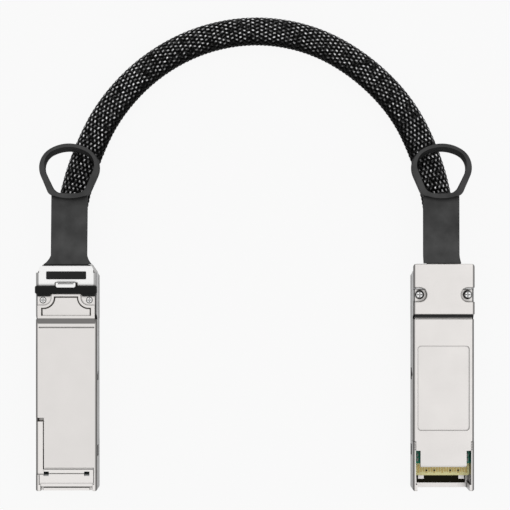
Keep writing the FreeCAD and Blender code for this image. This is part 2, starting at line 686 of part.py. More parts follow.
def cover_plate():
    """Plate over the right plug's slider, with rounded rear corners."""
    top = PLATFORM_LEVEL + COVER_THICKNESS
    plate = strip(HALF, PLATFORM_START, PLUG_LENGTH + COVER_OVERHANG, PLATFORM_LEVEL, top)
    plate = eased(plate, COVER_CORNER, V(0, 0, 1), lambda c: c.y > PLUG_LENGTH)
    plate = plate.cut(cover_notches(PLATFORM_LEVEL, top))
    upper_edges = [e for e in plate.Edges if e.BoundBox.ZMin > top - NEAR]
    plate = plate.makeChamfer(COVER_EDGE_BEVEL, upper_edges)
    return fused([plate] + cover_pegs(PLATFORM_LEVEL - COVER_PEG_LENGTH, PLATFORM_LEVEL))


def gasket():
    floor = PLUG_HEIGHT - GASKET_SINK
    front = PLATFORM_START - GASKET_WIDTH
    strip_top = (PLATFORM_LEVEL + PLUG_HEIGHT) / 2
    bar = strip(HEAD_HALF, front, PLATFORM_START, floor, strip_top)
    return eased(bar, GASKET_WIDTH / 4, V(1, 0, 0), lambda c: c.z > floor + NEAR)


# ---- Screws -----------------------------------------------------------------------------------
def screw(u, v, end):
    """A shank and a head with a cross slot; the head is flat on the left, domed on the right."""
    head_radius, height = SCREW_HEAD_RADIUS[end], SCREW_HEAD_HEIGHT[end]
    if end == "left":
        seat = RIM_LEVEL - WING_DROP - height
        head = disc(u, v, seat, seat + height, head_radius)
    else:
        seat = PLATFORM_LEVEL - SCREW_NOTCH_DROP
        straight = SCREW_RIM_SHARE * height
        head = disc(u, v, seat, seat + straight, head_radius)
        head = head.fuse(Part.makeCone(head_radius, CROSS_SLOT_REACH * head_radius,
                                       height - straight, V(u, v, seat + straight)))
    shank = disc(u, v, SCREW_TIP_LEVEL, seat, SCREW_SHANK_RADIUS)
    reach, half = CROSS_SLOT_REACH * head_radius, CROSS_SLOT_WIDTH / 2
    low, high = seat + height / 2, seat + height
    slots = [block(u - reach, u + reach, v - half, v + half, low, high),
             block(u - half, u + half, v - reach, v + reach, low, high)]
    return head.fuse(shank).cut(slots)


def screws(end):
    return Part.makeCompound([screw(u, v, end) for u, v in screw_places(end)])


# ---- Paddle card, contacts, parts and wires ---------------------------------------------------
def paddle_card():
    half, tail = CARD_WIDTH / 2, CARD_TAIL_WIDTH / 2
    outline = mirrored_polygon([(half - CARD_BEVEL, CARD_FRONT), (half, CARD_FRONT + CARD_BEVEL),
                                (half, CARD_NECK), (tail, CARD_NECK), (tail, CARD_END)])
    card = prism(outline, SPLIT_LEVEL, CARD_TOP)
    for z, away in ((SPLIT_LEVEL, 1), (CARD_TOP, -1)):
        card = card.cut(side_profile([(CARD_FRONT, z), (CARD_FRONT + EDGE_BEVEL_LENGTH, z),
                                      (CARD_FRONT, z + away * EDGE_BEVEL_DEPTH)], half))
    return card


def contact_pads():
    """A row of pads on each face; every third one is a ground pad and longer."""
    pads = []
    for index in range(PAD_COUNT):
        place = index - (PAD_COUNT - 1) / 2
        extra = GROUND_PAD_EXTRA if place % 3 == 0 else 0
        front, rear = PAD_START + GROUND_PAD_EXTRA - extra, PAD_START + PAD_LENGTH + extra
        u0 = place * PAD_PITCH - PAD_WIDTH / 2
        for z in (SPLIT_LEVEL - PAD_THICKNESS, CARD_TOP):
            pads.append(block(u0, u0 + PAD_WIDTH, front, rear, z, z + PAD_THICKNESS))
    return Part.makeCompound(pads)


def memory_chip():
    """The chip on the label side of the card, with its row of legs on each side."""
    half = CHIP_WIDTH / 2
    body = strip(half, CHIP_START, CHIP_START + CHIP_LENGTH, SPLIT_LEVEL - CHIP_HEIGHT,
                 SPLIT_LEVEL)
    legs = []
    first = CHIP_START + (CHIP_LENGTH - (LEG_COUNT - 1) * LEG_PITCH - LEG_WIDTH) / 2
    for index in range(LEG_COUNT):
        front = first + index * LEG_PITCH
        legs += pair(block(half, half + LEG_REACH, front, front + LEG_WIDTH,
                           SPLIT_LEVEL - LEG_THICKNESS, SPLIT_LEVEL))
    return fused([body] + legs)


def card_capacitors():
    """Small capacitors: a row beside the tongue, where the card shows, and two near the chip."""
    places = [((CARD_WIDTH + TONGUE_WIDTH) / 4, start) for start in CAPACITOR_STARTS]
    places.append((INNER_CAPACITOR_SPACING / 2, INNER_CAPACITOR_START))
    parts = []
    for u, front in places:
        parts += pair(block(u - CAPACITOR_WIDTH / 2, u + CAPACITOR_WIDTH / 2,
                            front, front + CAPACITOR_LENGTH,
                            SPLIT_LEVEL - CAPACITOR_HEIGHT, SPLIT_LEVEL))
    return Part.makeCompound(parts)


def wire_pair(u, z):
    """One flat twin wire with eased edges, from the card's tail to the clamp."""
    wire = block(u - WIRE_WIDTH / 2, u + WIRE_WIDTH / 2, CARD_END - SOLDER_LENGTH, CLAMP_START,
                 z - WIRE_HEIGHT / 2, z + WIRE_HEIGHT / 2)
    return bevelled(wire, WIRE_HEIGHT / 3, V(0, 1, 0), lambda c: True)


def wire_pairs():
    """The pairs lie on both faces of the card."""
    wires = []
    for index in range(WIRE_COUNT):
        u = (index - (WIRE_COUNT - 1) / 2) * WIRE_PITCH
        wires += [wire_pair(u, SPLIT_LEVEL - WIRE_HEIGHT / 2),
                  wire_pair(u, CARD_TOP + WIRE_HEIGHT / 2)]
    return Part.makeCompound(wires)


def cable_clamp():
    """Block round the wires that ends the sleeve; its flange is held between the two halves."""
    half = CAVITY_WIDTH / 2 - CLAMP_GAP
    body = strip(half, CLAMP_START, SLEEVE_START, CAVITY_FLOOR, CAVITY_ROOF - CLAMP_GAP)
    body = bevelled(body, CLAMP_BEVEL, V(0, 1, 0), lambda c: True)
    flange = strip(FLANGE_WIDTH / 2, FLANGE_START, FLANGE_START + FLANGE_LENGTH,
                   CAVITY_FLOOR, CAVITY_ROOF - CLAMP_GAP)
    return fused([body, flange])


# ---- Release slider ---------------------------------------------------------------------------
def bent_strip(low, high):
    """Cross-section of the slider's plate with both sides bent down."""
    outer = strip(ARM_OUTER, PLATE_START, ARM_REAR, low, high)
    outer = eased(outer, 2 * SHEET, V(0, 1, 0), lambda c: c.z > high - NEAR)
    inner = strip(ARM_INNER, PLATE_START, ARM_REAR, low, high - SHEET)
    inner = eased(inner, SHEET, V(0, 1, 0), lambda c: c.z > high - SHEET - NEAR)
    return outer.cut(inner)


def slider_arm(high):
    """Right-hand arm: tall beside the head, low in the cage, thinned towards its tip."""
    tall = block(ARM_INNER, ARM_OUTER, ARM_STEP, ARM_REAR, ARM_LOW, high)
    low = block(ARM_INNER, ARM_OUTER, ARM_FRONT, ARM_STEP, ARM_LOW, ARM_HIGH)
    tip = prism([(ARM_OUTER, ARM_FRONT), (ARM_OUTER, ARM_FRONT + ARM_TIP),
                 (ARM_OUTER - SHEET / 2, ARM_FRONT)], ARM_LOW, ARM_HIGH)
    corner = side_profile([(ARM_STEP, high), (ARM_STEP + ARM_STEP_CORNER, high),
                           (ARM_STEP, high - ARM_STEP_CORNER)], HALF)
    return fused([tall, low]).cut([tip, corner])


def hook(top):
    """Tongue bent up from the plate and forward over the cross bar."""
    rear, rise = HOOK_START + HOOK_LENGTH, BAR_HEIGHT - SHEET
    arch = strip(HOOK_WIDTH / 2, HOOK_START, rear, top, top + rise + SHEET)
    arch = eased(arch, SHEET, V(1, 0, 0), lambda c: c.y > rear - NEAR and c.z > top + rise)
    under = strip(HOOK_WIDTH / 2, HOOK_START, rear - SHEET, top, top + rise)
    slit = strip((HOOK_WIDTH - 2 * HOOK_CORNER) / 2, BODY_LENGTH + HOOK_SLIT_SETBACK,
                 BODY_LENGTH + HOOK_SLIT_SETBACK + HOOK_SLIT_WIDTH,
                 top + rise + SHEET - HOOK_SLIT_DEPTH, top + rise + SHEET)
    arch = eased(arch.cut(under), HOOK_CORNER, V(0, 0, 1), lambda c: abs(c.y - HOOK_START) < NEAR)
    return arch.cut(slit)


def hook_reliefs(bottom, top):
    """Slots in the plate on both sides of the hook, open to the plate's front edge."""
    half = HOOK_WIDTH / 2
    return pair(block(half, half + RELIEF_WIDTH, PLATE_START, HOOK_START + RELIEF_LENGTH,
                      bottom, top))


def release_slider(end):
    deck = DECK_LEVEL[end]
    bottom = deck + DECK_CLEARANCE
    top = bottom + SHEET
    tail_half = PLATE_TAIL_WIDTH / 2
    tail = prism(mirrored_polygon([(tail_half, ARM_REAR), (tail_half, PLATE_END - PLATE_CORNER),
                                   (tail_half - PLATE_CORNER / 2, PLATE_END)]), bottom, top)
    lugs = pair(block((SPRING_SPACING - LUG_WIDTH) / 2, (SPRING_SPACING + LUG_WIDTH) / 2,
                      PLATE_START, PLATE_START + SHEET, deck - 2 * SPRING_RADIUS, bottom))
    slot = strip(SLOT_WIDTH / 2, SLOT_START, SLOT_START + SLOT_LENGTH, bottom, top)
    slot = eased(slot, SLOT_CORNER, V(0, 0, 1), lambda c: True)
    arms = pair(slider_arm(top - 2 * SHEET))
    slider = fused([bent_strip(ARM_LOW, top), tail] + arms + lugs).cut(slot)
    if end == "left":
        slider = fused([slider.cut(hook_reliefs(bottom, top)), hook(top)])
    return slider


def cross_bar():
    """Moulded bar that snaps over the front edge of the left slider."""
    top = DECK_LEVEL["left"] + DECK_CLEARANCE + BAR_HEIGHT
    bar = strip(HALF + BAR_OVERHANG, BAR_START, BAR_START + BAR_LENGTH,
                DECK_LEVEL["left"] + DECK_CLEARANCE, top)
    bar = eased(bar, BAR_EDGE_RADIUS, V(1, 0, 0), lambda c: c.z > top - NEAR)
    bar = bevelled(bar, BAR_END_BEVEL, V(0, 0, 1), lambda c: True)
    low = RIM_LEVEL - WING_DROP + FOOT_CLEARANCE
    feet = pair(block(FOOT_START, FOOT_START + FOOT_WIDTH, BAR_START - FOOT_LENGTH,
                      BAR_START + BAR_LENGTH / 2, low, low + FOOT_HEIGHT))
    return fused([bar] + feet).cut(release_slider("left"))


def return_spring(u, deck):
    """Helix between the slider's lug and the end of its pocket."""
    front = PLATE_START + SHEET
    axis_z = deck - SPRING_RADIUS
    half = SPRING_WIRE / 2
    coil = SPRING_RADIUS - half
    length = SPRING_POCKET_END - front - SPRING_WIRE - SLIDE_CLEARANCE
    steps = SPRING_STEPS * SPRING_TURNS
    path = []
    for step in range(steps + 1):
        angle = 2 * math.pi * step / SPRING_STEPS
        path.append(V(coil * math.cos(angle), coil * math.sin(angle), length * step / steps))
    corners = [V(coil - half, 0, -half), V(coil + half, 0, -half), V(coil + half, 0, half),
               V(coil - half, 0, half)]
    section = Part.makePolygon(corners + corners[:1])
    wire = Part.makePolygon(path).makePipeShell([section], True, False, 1)
    wire.rotate(V(0, 0, 0), V(1, 0, 0), -90)
    wire.translate(V(u, front + half, axis_z))
    return wire


def return_springs(end):
    springs = [return_spring(side * SPRING_SPACING / 2, DECK_LEVEL[end]) for side in (-1, 1)]
    return Part.makeCompound(springs)


# ---- Pull tab ---------------------------------------------------------------------------------
def arc_about(centre, radius, start, stop):
    """Arc between two points of a circle, the short way round."""
    middle = centre + ((start - centre) + (stop - centre)).normalize() * radius
    return Part.Arc(start, middle, stop).toShape()


def across(point):
    return V(-point.x, point.y, point.z)


def egg_outline(z, width, base, top, radii, corner):
    """Closed outline of tangent arcs: a dome, two round sides, straight tapers and a narrow base.

    radii are those of the dome, the sides and the base corners; corner is a base corner's centre.
    """
    dome_radius, side_radius, corner_radius = radii
    dome = V(0, top - dome_radius, z)
    side_x = width / 2 - side_radius
    side = V(side_x, dome.y + math.sqrt((dome_radius - side_radius) ** 2 - side_x ** 2), z)
    foot = V(*corner, z)
    reach = side - foot
    slant = (corner_radius - side_radius) / reach.Length
    reach.normalize()
    outward = reach * slant + V(reach.y, -reach.x, 0) * math.sqrt(1 - slant ** 2)
    shoulder = dome + (side - dome).normalize() * dome_radius
    taper = [side + outward * side_radius, foot + outward * corner_radius]
    heel = foot + V(0, -corner_radius, 0)
    right = [arc_about(side, side_radius, shoulder, taper[0]), Part.makeLine(*taper),
             arc_about(foot, corner_radius, taper[1], heel)]
    left = [edge.mirror(V(0, 0, 0), V(1, 0, 0)) for edge in right]
    crown = Part.Arc(across(shoulder), V(0, top, z), shoulder).toShape()
    sole = Part.Arc(heel, V(0, base, z), across(heel)).toShape()
    return Part.Wire([crown] + right + [sole] + left[::-1])


def ring_outline(z):
    return egg_outline(z, RING_WIDTH, 0, RING_LENGTH, RING_RADII, RING_CORNER)


def ring_hole(z, bevel):
    """The finger hole; the bevel moves its far wall back and widens it a little."""
    widened = RING_HOLE_WIDTH + bevel / RING_BEVEL * RING_HOLE_SPREAD
    return egg_outline(z, widened, RING_HOLE_START, RING_HOLE_END + bevel, RING_HOLE_RADII,
                       RING_HOLE_CORNER)


def ring(bottom):
    top = bottom + RING_THICKNESS
    body = Part.Face(ring_outline(bottom)).extrude(V(0, 0, RING_THICKNESS))
    hole = Part.makeLoft([ring_hole(bottom, 0), ring_hole(top, RING_BEVEL)], True, True)
    return body.cut(hole)


def flare(end, start, low, high):
    """The strap's wide end: its sides curve in from the head to the strap."""
    half, wide, shift = STRAP_WIDTH / 2, FLARE_WIDTH[end] / 2, STRAP_SHIFT[end]
    stop = start + FLARE_LENGTH
    corners = {side: (V(side * wide + shift / 2, start, low), V(side * half + shift, stop, low))
               for side in (-1, 1)}
    sides = []
    for side, (foot, tip) in corners.items():
        hollow = (foot + tip) * 0.5 - V((foot.x - tip.x) * FLARE_HOLLOW, 0, 0)
        sides.append(Part.Arc(foot, hollow, tip).toShape())
    edges = sides + [Part.makeLine(corners[-1][0], corners[1][0]),
                     Part.makeLine(corners[-1][1], corners[1][1])]
    outline = Part.Wire(Part.__sortEdges__(edges))
    return Part.Face(outline).extrude(V(0, 0, high - low))


def pull_tab(end):
    """Slot filling, web, root, flare, strap and finger ring, moulded in one piece."""
    plate_bottom = DECK_LEVEL[end] + DECK_CLEARANCE
    plate_top = plate_bottom + SHEET
    low = plate_bottom - WEB_THICKNESS
    high = low + STRAP_THICKNESS
    start = PLUG_LENGTH + SLIDE_CLEARANCE + (COVER_OVERHANG if end == "right" else 0)
    filling = strip(SLOT_WIDTH / 2, SLOT_START, SLOT_START + SLOT_LENGTH, plate_bottom, plate_top)
    filling = eased(filling, SLOT_CORNER, V(0, 0, 1), lambda c: True)
    web = strip(WEB_WIDTH / 2, SLOT_START, start, low, plate_bottom)
    root = strip(FLARE_WIDTH[end] / 2 - ROOT_INSET, PLATE_END, start, plate_bottom, plate_top)
    strap = strip(STRAP_WIDTH / 2, start + FLARE_LENGTH - STRAP_INTO_FLARE,
                  RING_START + STRAP_INTO_RING, low, high)
    loop = ring(low - RING_BELOW_STRAP)
    loop.translate(V(0, RING_START, 0))
    free = fused([strap, loop])
    free.rotate(V(0, start + FLARE_LENGTH, 0), V(0, 0, 1), LEAN[end])
    free.translate(V(STRAP_SHIFT[end], 0, 0))
    return fused([filling, web, root, flare(end, start, low, high), free])


# ---- Sleeve -----------------------------------------------------------------------------------
def sleeve_section():
    """Oval of four arcs in the plane across the first run of the sleeve."""
    half_width, half_height = SLEEVE_WIDTH / 2, SLEEVE_HEIGHT / 2
    tip = V(half_width - SLEEVE_SIDE_RADIUS, 0, 0)
    crown = (tip.x ** 2 + half_height ** 2 - SLEEVE_SIDE_RADIUS ** 2) / (
        2 * (half_height - SLEEVE_SIDE_RADIUS))
    low = V(0, 0, half_height - crown)
    joint = tip + (tip - low).normalize() * SLEEVE_SIDE_RADIUS
    corners = [V(side * joint.x, 0, level * joint.z) for side, level in
               ((-1, 1), (1, 1), (1, -1), (-1, -1))]
    middles = [V(0, 0, half_height), V(half_width, 0, 0), V(0, 0, -half_height),
               V(-half_width, 0, 0)]
    arcs = [Part.Arc(start, middle, stop).toShape()
            for start, middle, stop in zip(corners, middles, corners[1:] + corners[:1])]
    return Part.Face(Part.Wire(arcs))


def turned_section(section, point, direction):
    """The section moved to a point of the route, across its direction there."""
    moved = section.copy()
    heading = math.degrees(math.atan2(direction.y, direction.x)) - 90
    moved.rotate(V(0, 0, 0), V(0, 0, 1), heading)
    moved.translate(point)
    return moved


def sleeve_route():
    """Points of the centre line from the left clamp to the right one."""
    middle, start = PLUG_SPACING / 2, NOSE_Y + SLEEVE_START
    left = [V(x - middle, start + y, SLEEVE_LEVEL) for x, y in LEFT_SLEEVE_POINTS]
    right = [V(middle - x, start + y, SLEEVE_LEVEL) for x, y in RIGHT_SLEEVE_POINTS]
    return left + right[::-1]


def braided_sleeve():
    """Straight runs joined by tangent arcs, as large as the shorter run beside each allows."""
    points = sleeve_route()
    section = sleeve_section()
    pieces, radii, length, start = [], [], 0, points[0]
    for before, corner, after in zip(points, points[1:], points[2:]):
        back, ahead = before - corner, after - corner
        reach = TURN_SHARE * min(back.Length, ahead.Length)
        back.normalize()
        ahead.normalize()
        turn = math.pi - back.getAngle(ahead)
        radius = reach / math.tan(turn / 2)
        first, last = corner + back * reach, corner + ahead * reach
        centre = corner + (back + ahead).normalize() * (radius / math.cos(turn / 2))
        flat = turned_section(section, start, -back)
        pieces.append(flat.extrude(first - start))
        flat = turned_section(section, first, -back)
        axis = back.cross(ahead)
        pieces.append(flat.revolve(centre, axis, -math.degrees(turn)))
        radii.append(round(radius, 1))
        length += (first - start).Length + radius * turn
        start = last
    flat = turned_section(section, start, ahead)
    pieces.append(flat.extrude(points[-1] - start))
    length += (points[-1] - start).Length
    tube = pieces[0].multiFuse(pieces[1:])
    print("sleeve bend radii, mm:", radii)
    print("sleeve length, mm:", round(length, 1),
          "volume over section times length:", round(tube.Volume / (section.Area * length), 4))
    return tube


# ---- All pieces -------------------------------------------------------------------------------
def plug_pieces(end):
    lower, upper = shells(end)
    label, key = (lower, upper) if end == "left" else (upper, lower)
    pieces = {
        "key_shell": key,
        "label_shell": label,
        "shell_screws": screws(end),
        "paddle_card": as_body(paddle_card(), end),
        "contact_pads": as_body(contact_pads(), end),
        "memory_chip": as_body(memory_chip(), end),
        "card_capacitors": as_body(card_capacitors(), end),
        "wire_pairs": as_body(wire_pairs(), end),
        "cable_clamp": cable_clamp(),
        "release_slider": release_slider(end),
        "return_springs": return_springs(end),
        "pull_tab": pull_tab(end),
    }
    if end == "left":
        pieces["cross_bar"] = cross_bar()
    else:
        pieces["cover_plate"] = cover_plate()
        pieces["gasket_strip"] = gasket()
    return pieces


def main():
    os.makedirs("parts", exist_ok=True)
    nodes = {"braided_sleeve": braided_sleeve()}
    for end in ("left", "right"):
        for name, shape in plug_pieces(end).items():
            nodes[f"{end}_{name}"] = placed(shape, end)
    for name, shape in nodes.items():
        if not shape.isValid() or not shape.Solids:
            raise ValueError(f"{name} isn't a valid solid")
        shape.exportStep(f"parts/{name}.step")


main()
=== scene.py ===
"""Dresses a short direct attach copper cable: finishes for its plugs and a braided sleeve.

Positions are in metres: X runs from the left plug to the right one, Y from the noses to the pull
rings, Z up from the surface that the cable lies on.
"""

import math

import bpy
from bpy.props import FloatProperty, FloatVectorProperty, IntProperty, PointerProperty
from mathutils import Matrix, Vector


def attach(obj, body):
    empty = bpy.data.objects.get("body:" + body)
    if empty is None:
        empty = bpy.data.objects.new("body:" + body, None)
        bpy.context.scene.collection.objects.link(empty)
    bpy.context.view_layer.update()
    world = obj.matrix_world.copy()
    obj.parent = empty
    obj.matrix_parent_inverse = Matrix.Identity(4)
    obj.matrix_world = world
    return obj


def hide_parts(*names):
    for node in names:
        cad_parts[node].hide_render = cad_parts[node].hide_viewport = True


bl_info = {
    "name": "Direct attach copper cable",
    "version": (1, 0, 0),
    "blender": (4, 5, 0),
    "location": "3D View > Sidebar > Copper cable",
    "description": "Finishes the plugs of a direct attach cable and lays its braided sleeve",
    "category": "Add Mesh",
}

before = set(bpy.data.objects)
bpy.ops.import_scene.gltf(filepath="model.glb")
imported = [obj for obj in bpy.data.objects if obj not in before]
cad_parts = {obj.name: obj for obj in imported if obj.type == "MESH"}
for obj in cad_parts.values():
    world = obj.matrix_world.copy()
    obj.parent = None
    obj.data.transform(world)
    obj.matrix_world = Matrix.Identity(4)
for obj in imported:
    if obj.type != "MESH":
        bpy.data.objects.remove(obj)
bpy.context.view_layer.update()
ROOT_BODY = "cable"

# The plugs: their middle lines (left and right of X zero) and their mid height; how far out from
# the middle line the painted shade on the sides and on the folded sheet edges begins, and how
# softly
PLUG_MIDDLE = 0.0566
MIDDLE_LEVEL = 0.00425
SIDE_FROM = 0.0085
FOLD_FROM = 0.0081
SIDE_BLEND = 0.00030

# The left plug: where its bright rail starts along and across it, where its bright nose ends, and
# how far the slope in front of its head looks along Y
RAIL_START = -0.0300
RAIL_INSIDE = 0.0066
NOSE_END = -0.0450
SLOPE_FACING = -0.52
SLOPE_REACH = 0.06

# The painted shade inside the nose, a near-black patch: half its width, its middle and reach
# along the plug, and its level and reach from the plugs' mid height
NOSE_SHADE_HALF = 0.0074
NOSE_SHADE_MIDDLE = -0.0450
NOSE_SHADE_REACH = 0.0055
NOSE_SHADE_LEVEL = 0.00320
NOSE_SHADE_LEVEL_REACH = 0.00030

# The rims of the screw heads that get painted shade, left plug (-1) and right plug (1): how far
# out from the plug's middle, where along it, and the radius
SCREW_RIMS = {-1: (0.00695, 0.0053, 0.00090), 1: (0.00720, 0.0069, 0.00118)}
SCREW_RIM_HALF = 0.00014

# Where the pull tabs begin and finish to come free of the heads; painted shade inside the heads
TAB_SHUT = 0.0148
TAB_FREE = 0.0160

# The circuit cards: where the coating starts; the ground pads' spacing, and the dark dots of
# painted shade on four of them; and how softly both edges are drawn
COATING_START = -0.0442
COATING_BLEND = 0.00006
GROUND_PAD_PITCH = 0.0024
SHADE_DOT_BACK = 0.0463
SHADE_DOT_RADIUS = 0.00022
SHADE_DOT_BLEND = 0.00008

# What is left of a finish under painted shade, in grooves, screw recesses and round screw heads
PAINTED_SHADE = 0.05

# How far the sleeve's painted glints turn from the way of their strand towards the sleeve's own
GLINT_LEAN = 0.17

# How much the strands are spread towards the flat sides of the oval sleeve
OVAL_SPREAD = 0.45
ROUTE_STEPS = 24
CORE_SIDES = 32

# Route of the sleeve's centre line. It leaves each plug level and settles onto the surface.
EXIT_LEVEL = 0.0037
REST_LEVEL = 0.00315
SLEEVE_ROUTE = [
    (-0.0566, 0.0099, EXIT_LEVEL), (-0.0566, 0.0220, EXIT_LEVEL), (-0.0554, 0.0345, REST_LEVEL),
    (-0.0514, 0.0485, REST_LEVEL), (-0.0444, 0.0630, REST_LEVEL), (-0.0324, 0.0758, REST_LEVEL),
    (-0.0168, 0.0844, REST_LEVEL), (0.0008, 0.0874, REST_LEVEL), (0.0182, 0.0842, REST_LEVEL),
    (0.0330, 0.0756, REST_LEVEL), (0.0450, 0.0632, REST_LEVEL), (0.0520, 0.0485, REST_LEVEL),
    (0.0556, 0.0345, REST_LEVEL), (0.0566, 0.0220, EXIT_LEVEL), (0.0566, 0.0099, EXIT_LEVEL),
]


# ---- Settings ---------------------------------------------------------------------------------
class SleeveSettings(bpy.types.PropertyGroup):
    """Sizes of the braided sleeve."""

    width: FloatProperty(
        name="Width at the plugs", description="Across the flattened sleeve at its ends",
        default=0.0094, unit="LENGTH")
    height: FloatProperty(
        name="Height at the plugs", description="Thickness of the flattened sleeve at its ends",
        default=0.0059, unit="LENGTH")
    bend_narrowing: FloatProperty(
        name="Narrowing in the bend", description="How much slimmer the sleeve is at mid length",
        default=0.0008, unit="LENGTH")
    bend_thickening: FloatProperty(
        name="Thickening in the bend", description="How much thicker the sleeve is at mid length",
        default=0.0002, unit="LENGTH")
    declared_length: FloatProperty(
        name="Sleeve length", description="Real length, with what runs inside the plugs",
        default=0.2149, unit="LENGTH")


class BraidSettings(bpy.types.PropertyGroup):
    """Sizes of the strands that are braided into the sleeve."""

    strands: IntProperty(
        name="Strands each way", description="Strands that wind in the same direction",
        default=18, min=6, max=48)
    pitch: FloatProperty(
        name="Pitch", description="Along the sleeve, from one crossing over to the next",
        default=0.00263, unit="LENGTH")
    ribbon_width: FloatProperty(
        name="Strand width", description="Across a strand, at right angles to the sleeve's line",
        default=0.00084, unit="LENGTH")
    ribbon_thickness: FloatProperty(
        name="Strand thickness", description="Thickness of a strand",
        default=0.00022, unit="LENGTH")
    wave: FloatProperty(
        name="Weave height", description="How far a strand rises and sinks at each crossing",
        default=0.00014, unit="LENGTH")
    steps: IntProperty(
        name="Steps in a pitch", description="Straight bits that a strand has in one pitch",
        default=8, min=4, max=16)


class FinishSettings(bpy.types.PropertyGroup):
    """Colours and gloss of the finishes."""

    nickel: FloatVectorProperty(
        name="Nickel plating", description="Colour of the die-cast shells", subtype="COLOR",
        size=4, default=(0.720, 0.695, 0.677, 1.0), min=0.0, max=1.0)
    nickel_roughness: FloatProperty(
        name="Nickel roughness", description="Gloss of the die-cast shells", subtype="FACTOR",
        default=0.30, min=0.05, max=1.0)
    steel: FloatVectorProperty(
        name="Stamped steel", description="Colour of the release sliders", subtype="COLOR",
        size=4, default=(0.86, 0.855, 0.85, 1.0), min=0.0, max=1.0)
    elastomer: FloatVectorProperty(
        name="Pull tab", description="Colour of the moulded pull tabs", subtype="COLOR",
        size=4, default=(0.073, 0.073, 0.073, 1.0), min=0.0, max=1.0)
    filament: FloatVectorProperty(
        name="Sleeve filament", description="Colour of the braided filaments", subtype="COLOR",
        size=4, default=(0.002, 0.002, 0.002, 1.0), min=0.0, max=1.0)
    # The flecks are painted glints, standing in for light off the strands' backs
    painted_glint: FloatVectorProperty(
        name="Sleeve flecks", description="Colour of the polished backs of the strands",
        subtype="COLOR", size=4, default=(0.95, 0.95, 0.96, 1.0), min=0.0, max=1.0)
    mask: FloatVectorProperty(
        name="Card coating", description="Colour of the coating on the circuit card",
        subtype="COLOR", size=4, default=(0.010, 0.32, 0.20, 1.0), min=0.0, max=1.0)
    laminate: FloatVectorProperty(
        name="Bare card", description="Colour of the card's uncoated edge", subtype="COLOR",
        size=4, default=(0.95, 0.86, 0.43, 1.0), min=0.0, max=1.0)


class StageSettings(bpy.types.PropertyGroup):
    """Camera and light."""

    camera_height: FloatProperty(
        name="Camera height", description="Height of the camera above the surface",
        default=0.4885, unit="LENGTH")
    camera_forward: FloatProperty(
        name="Camera place", description="How far the camera stands towards the rings",
        default=0.0188, unit="LENGTH")
    focal_length: FloatProperty(
        name="Focal length", description="Lens of the camera, in millimetres", default=112.9)
    sky_strength: FloatProperty(
        name="Room light", description="Even light from all around", default=0.58, min=0.0)
    key_power: FloatProperty(
        name="Main lamp", description="Power of the large lamp, in watts", default=0.55, min=0.0)
    fill_power: FloatProperty(
        name="Second lamp", description="Power of the lamp beside it, in watts", default=0.4,
        min=0.0)


SETTINGS = {
    "cable_sleeve": SleeveSettings,
    "cable_braid": BraidSettings,
    "cable_finish": FinishSettings,
    "cable_stage": StageSettings,
}


# ---- Node helpers -----------------------------------------------------------------------------
def add_node(tree, kind, sockets=(), **settings):
    """Adds a node, sets it up and fills its inputs with values or with other nodes' outputs."""
    node = tree.nodes.new(kind)
    for name, value in settings.items():
        setattr(node, name, value)
    for key, value in dict(sockets).items():
        if isinstance(value, bpy.types.NodeSocket):
            tree.links.new(value, node.inputs[key])
        else:
            node.inputs[key].default_value = value
    placed = len(tree.nodes) - 1
    node.location = (200 * (placed % 8), -260 * (placed // 8))
    return node


def maths(tree, operation, first, second=0.0):
    node = add_node(tree, "ShaderNodeMath", {0: first, 1: second}, operation=operation)
    return node.outputs[0]


def start_material(name, metallic, colour, roughness):
    """A material with its shader set to even values, and the object's own coordinates."""
    material = bpy.data.materials.new(name)
    material.use_nodes = True
    tree = material.node_tree
    tree.nodes.clear()
    output = add_node(tree, "ShaderNodeOutputMaterial")
    shader = add_node(tree, "ShaderNodeBsdfPrincipled", {
        "Base Color": colour, "Metallic": metallic, "Roughness": roughness})
    tree.links.new(shader.outputs["BSDF"], output.inputs["Surface"])
    coordinates = add_node(tree, "ShaderNodeTexCoord").outputs["Object"]
    return material, tree, shader, coordinates


def noise(tree, coordinates, scale, detail=2.0):
    node = add_node(tree, "ShaderNodeTexNoise",
                    {"Vector": coordinates, "Scale": scale, "Detail": detail})
    return node.outputs["Fac"]


def stretched(tree, coordinates, scale):
    return add_node(tree, "ShaderNodeMapping",
                    {"Vector": coordinates, "Scale": scale}).outputs["Vector"]


def parts_of(tree, vector):
    """The X, Y and Z of a vector, each by its name."""
    return add_node(tree, "ShaderNodeSeparateXYZ", {"Vector": vector}).outputs


def ramp(tree, value, start, end):
    """0 where the value is at the start or before it, 1 at the end and beyond."""
    node = add_node(tree, "ShaderNodeMapRange",
                    {"Value": value, "From Min": start, "From Max": end})
    return node.outputs["Result"]


def between(tree, factor, low, high):
    """A value that runs from low to high as the factor runs from 0 to 1."""
    node = add_node(tree, "ShaderNodeMapRange",
                    {"Value": factor, "To Min": low, "To Max": high})
    return node.outputs["Result"]


def mixed(tree, factor, first, second):
    node = add_node(tree, "ShaderNodeMix", {"Factor": factor, 6: first, 7: second},
                    data_type="RGBA")
    return node.outputs[2]


def shaded(colour, share):
    """The colour, made darker or lighter by a share."""
    return tuple(min(1.0, part * share) for part in colour[:3]) + (1.0,)


def bump(tree, height, depth, normal=None):
    node = add_node(tree, "ShaderNodeBump", {"Height": height, "Strength": 1.0, "Distance": depth})
    if normal is not None:
        tree.links.new(normal, node.inputs["Normal"])
    return node.outputs["Normal"]


def edge_mask(tree, radius):
    """The softened normal near edges, and how far it turns from the true one."""
    soft = add_node(tree, "ShaderNodeBevel", {"Radius": radius}, samples=6).outputs["Normal"]
    true = add_node(tree, "ShaderNodeNewGeometry").outputs["True Normal"]
    same = add_node(tree, "ShaderNodeVectorMath", {0: soft, 1: true}, operation="DOT_PRODUCT")
    return soft, ramp(tree, same.outputs["Value"], 0.99, 0.80)


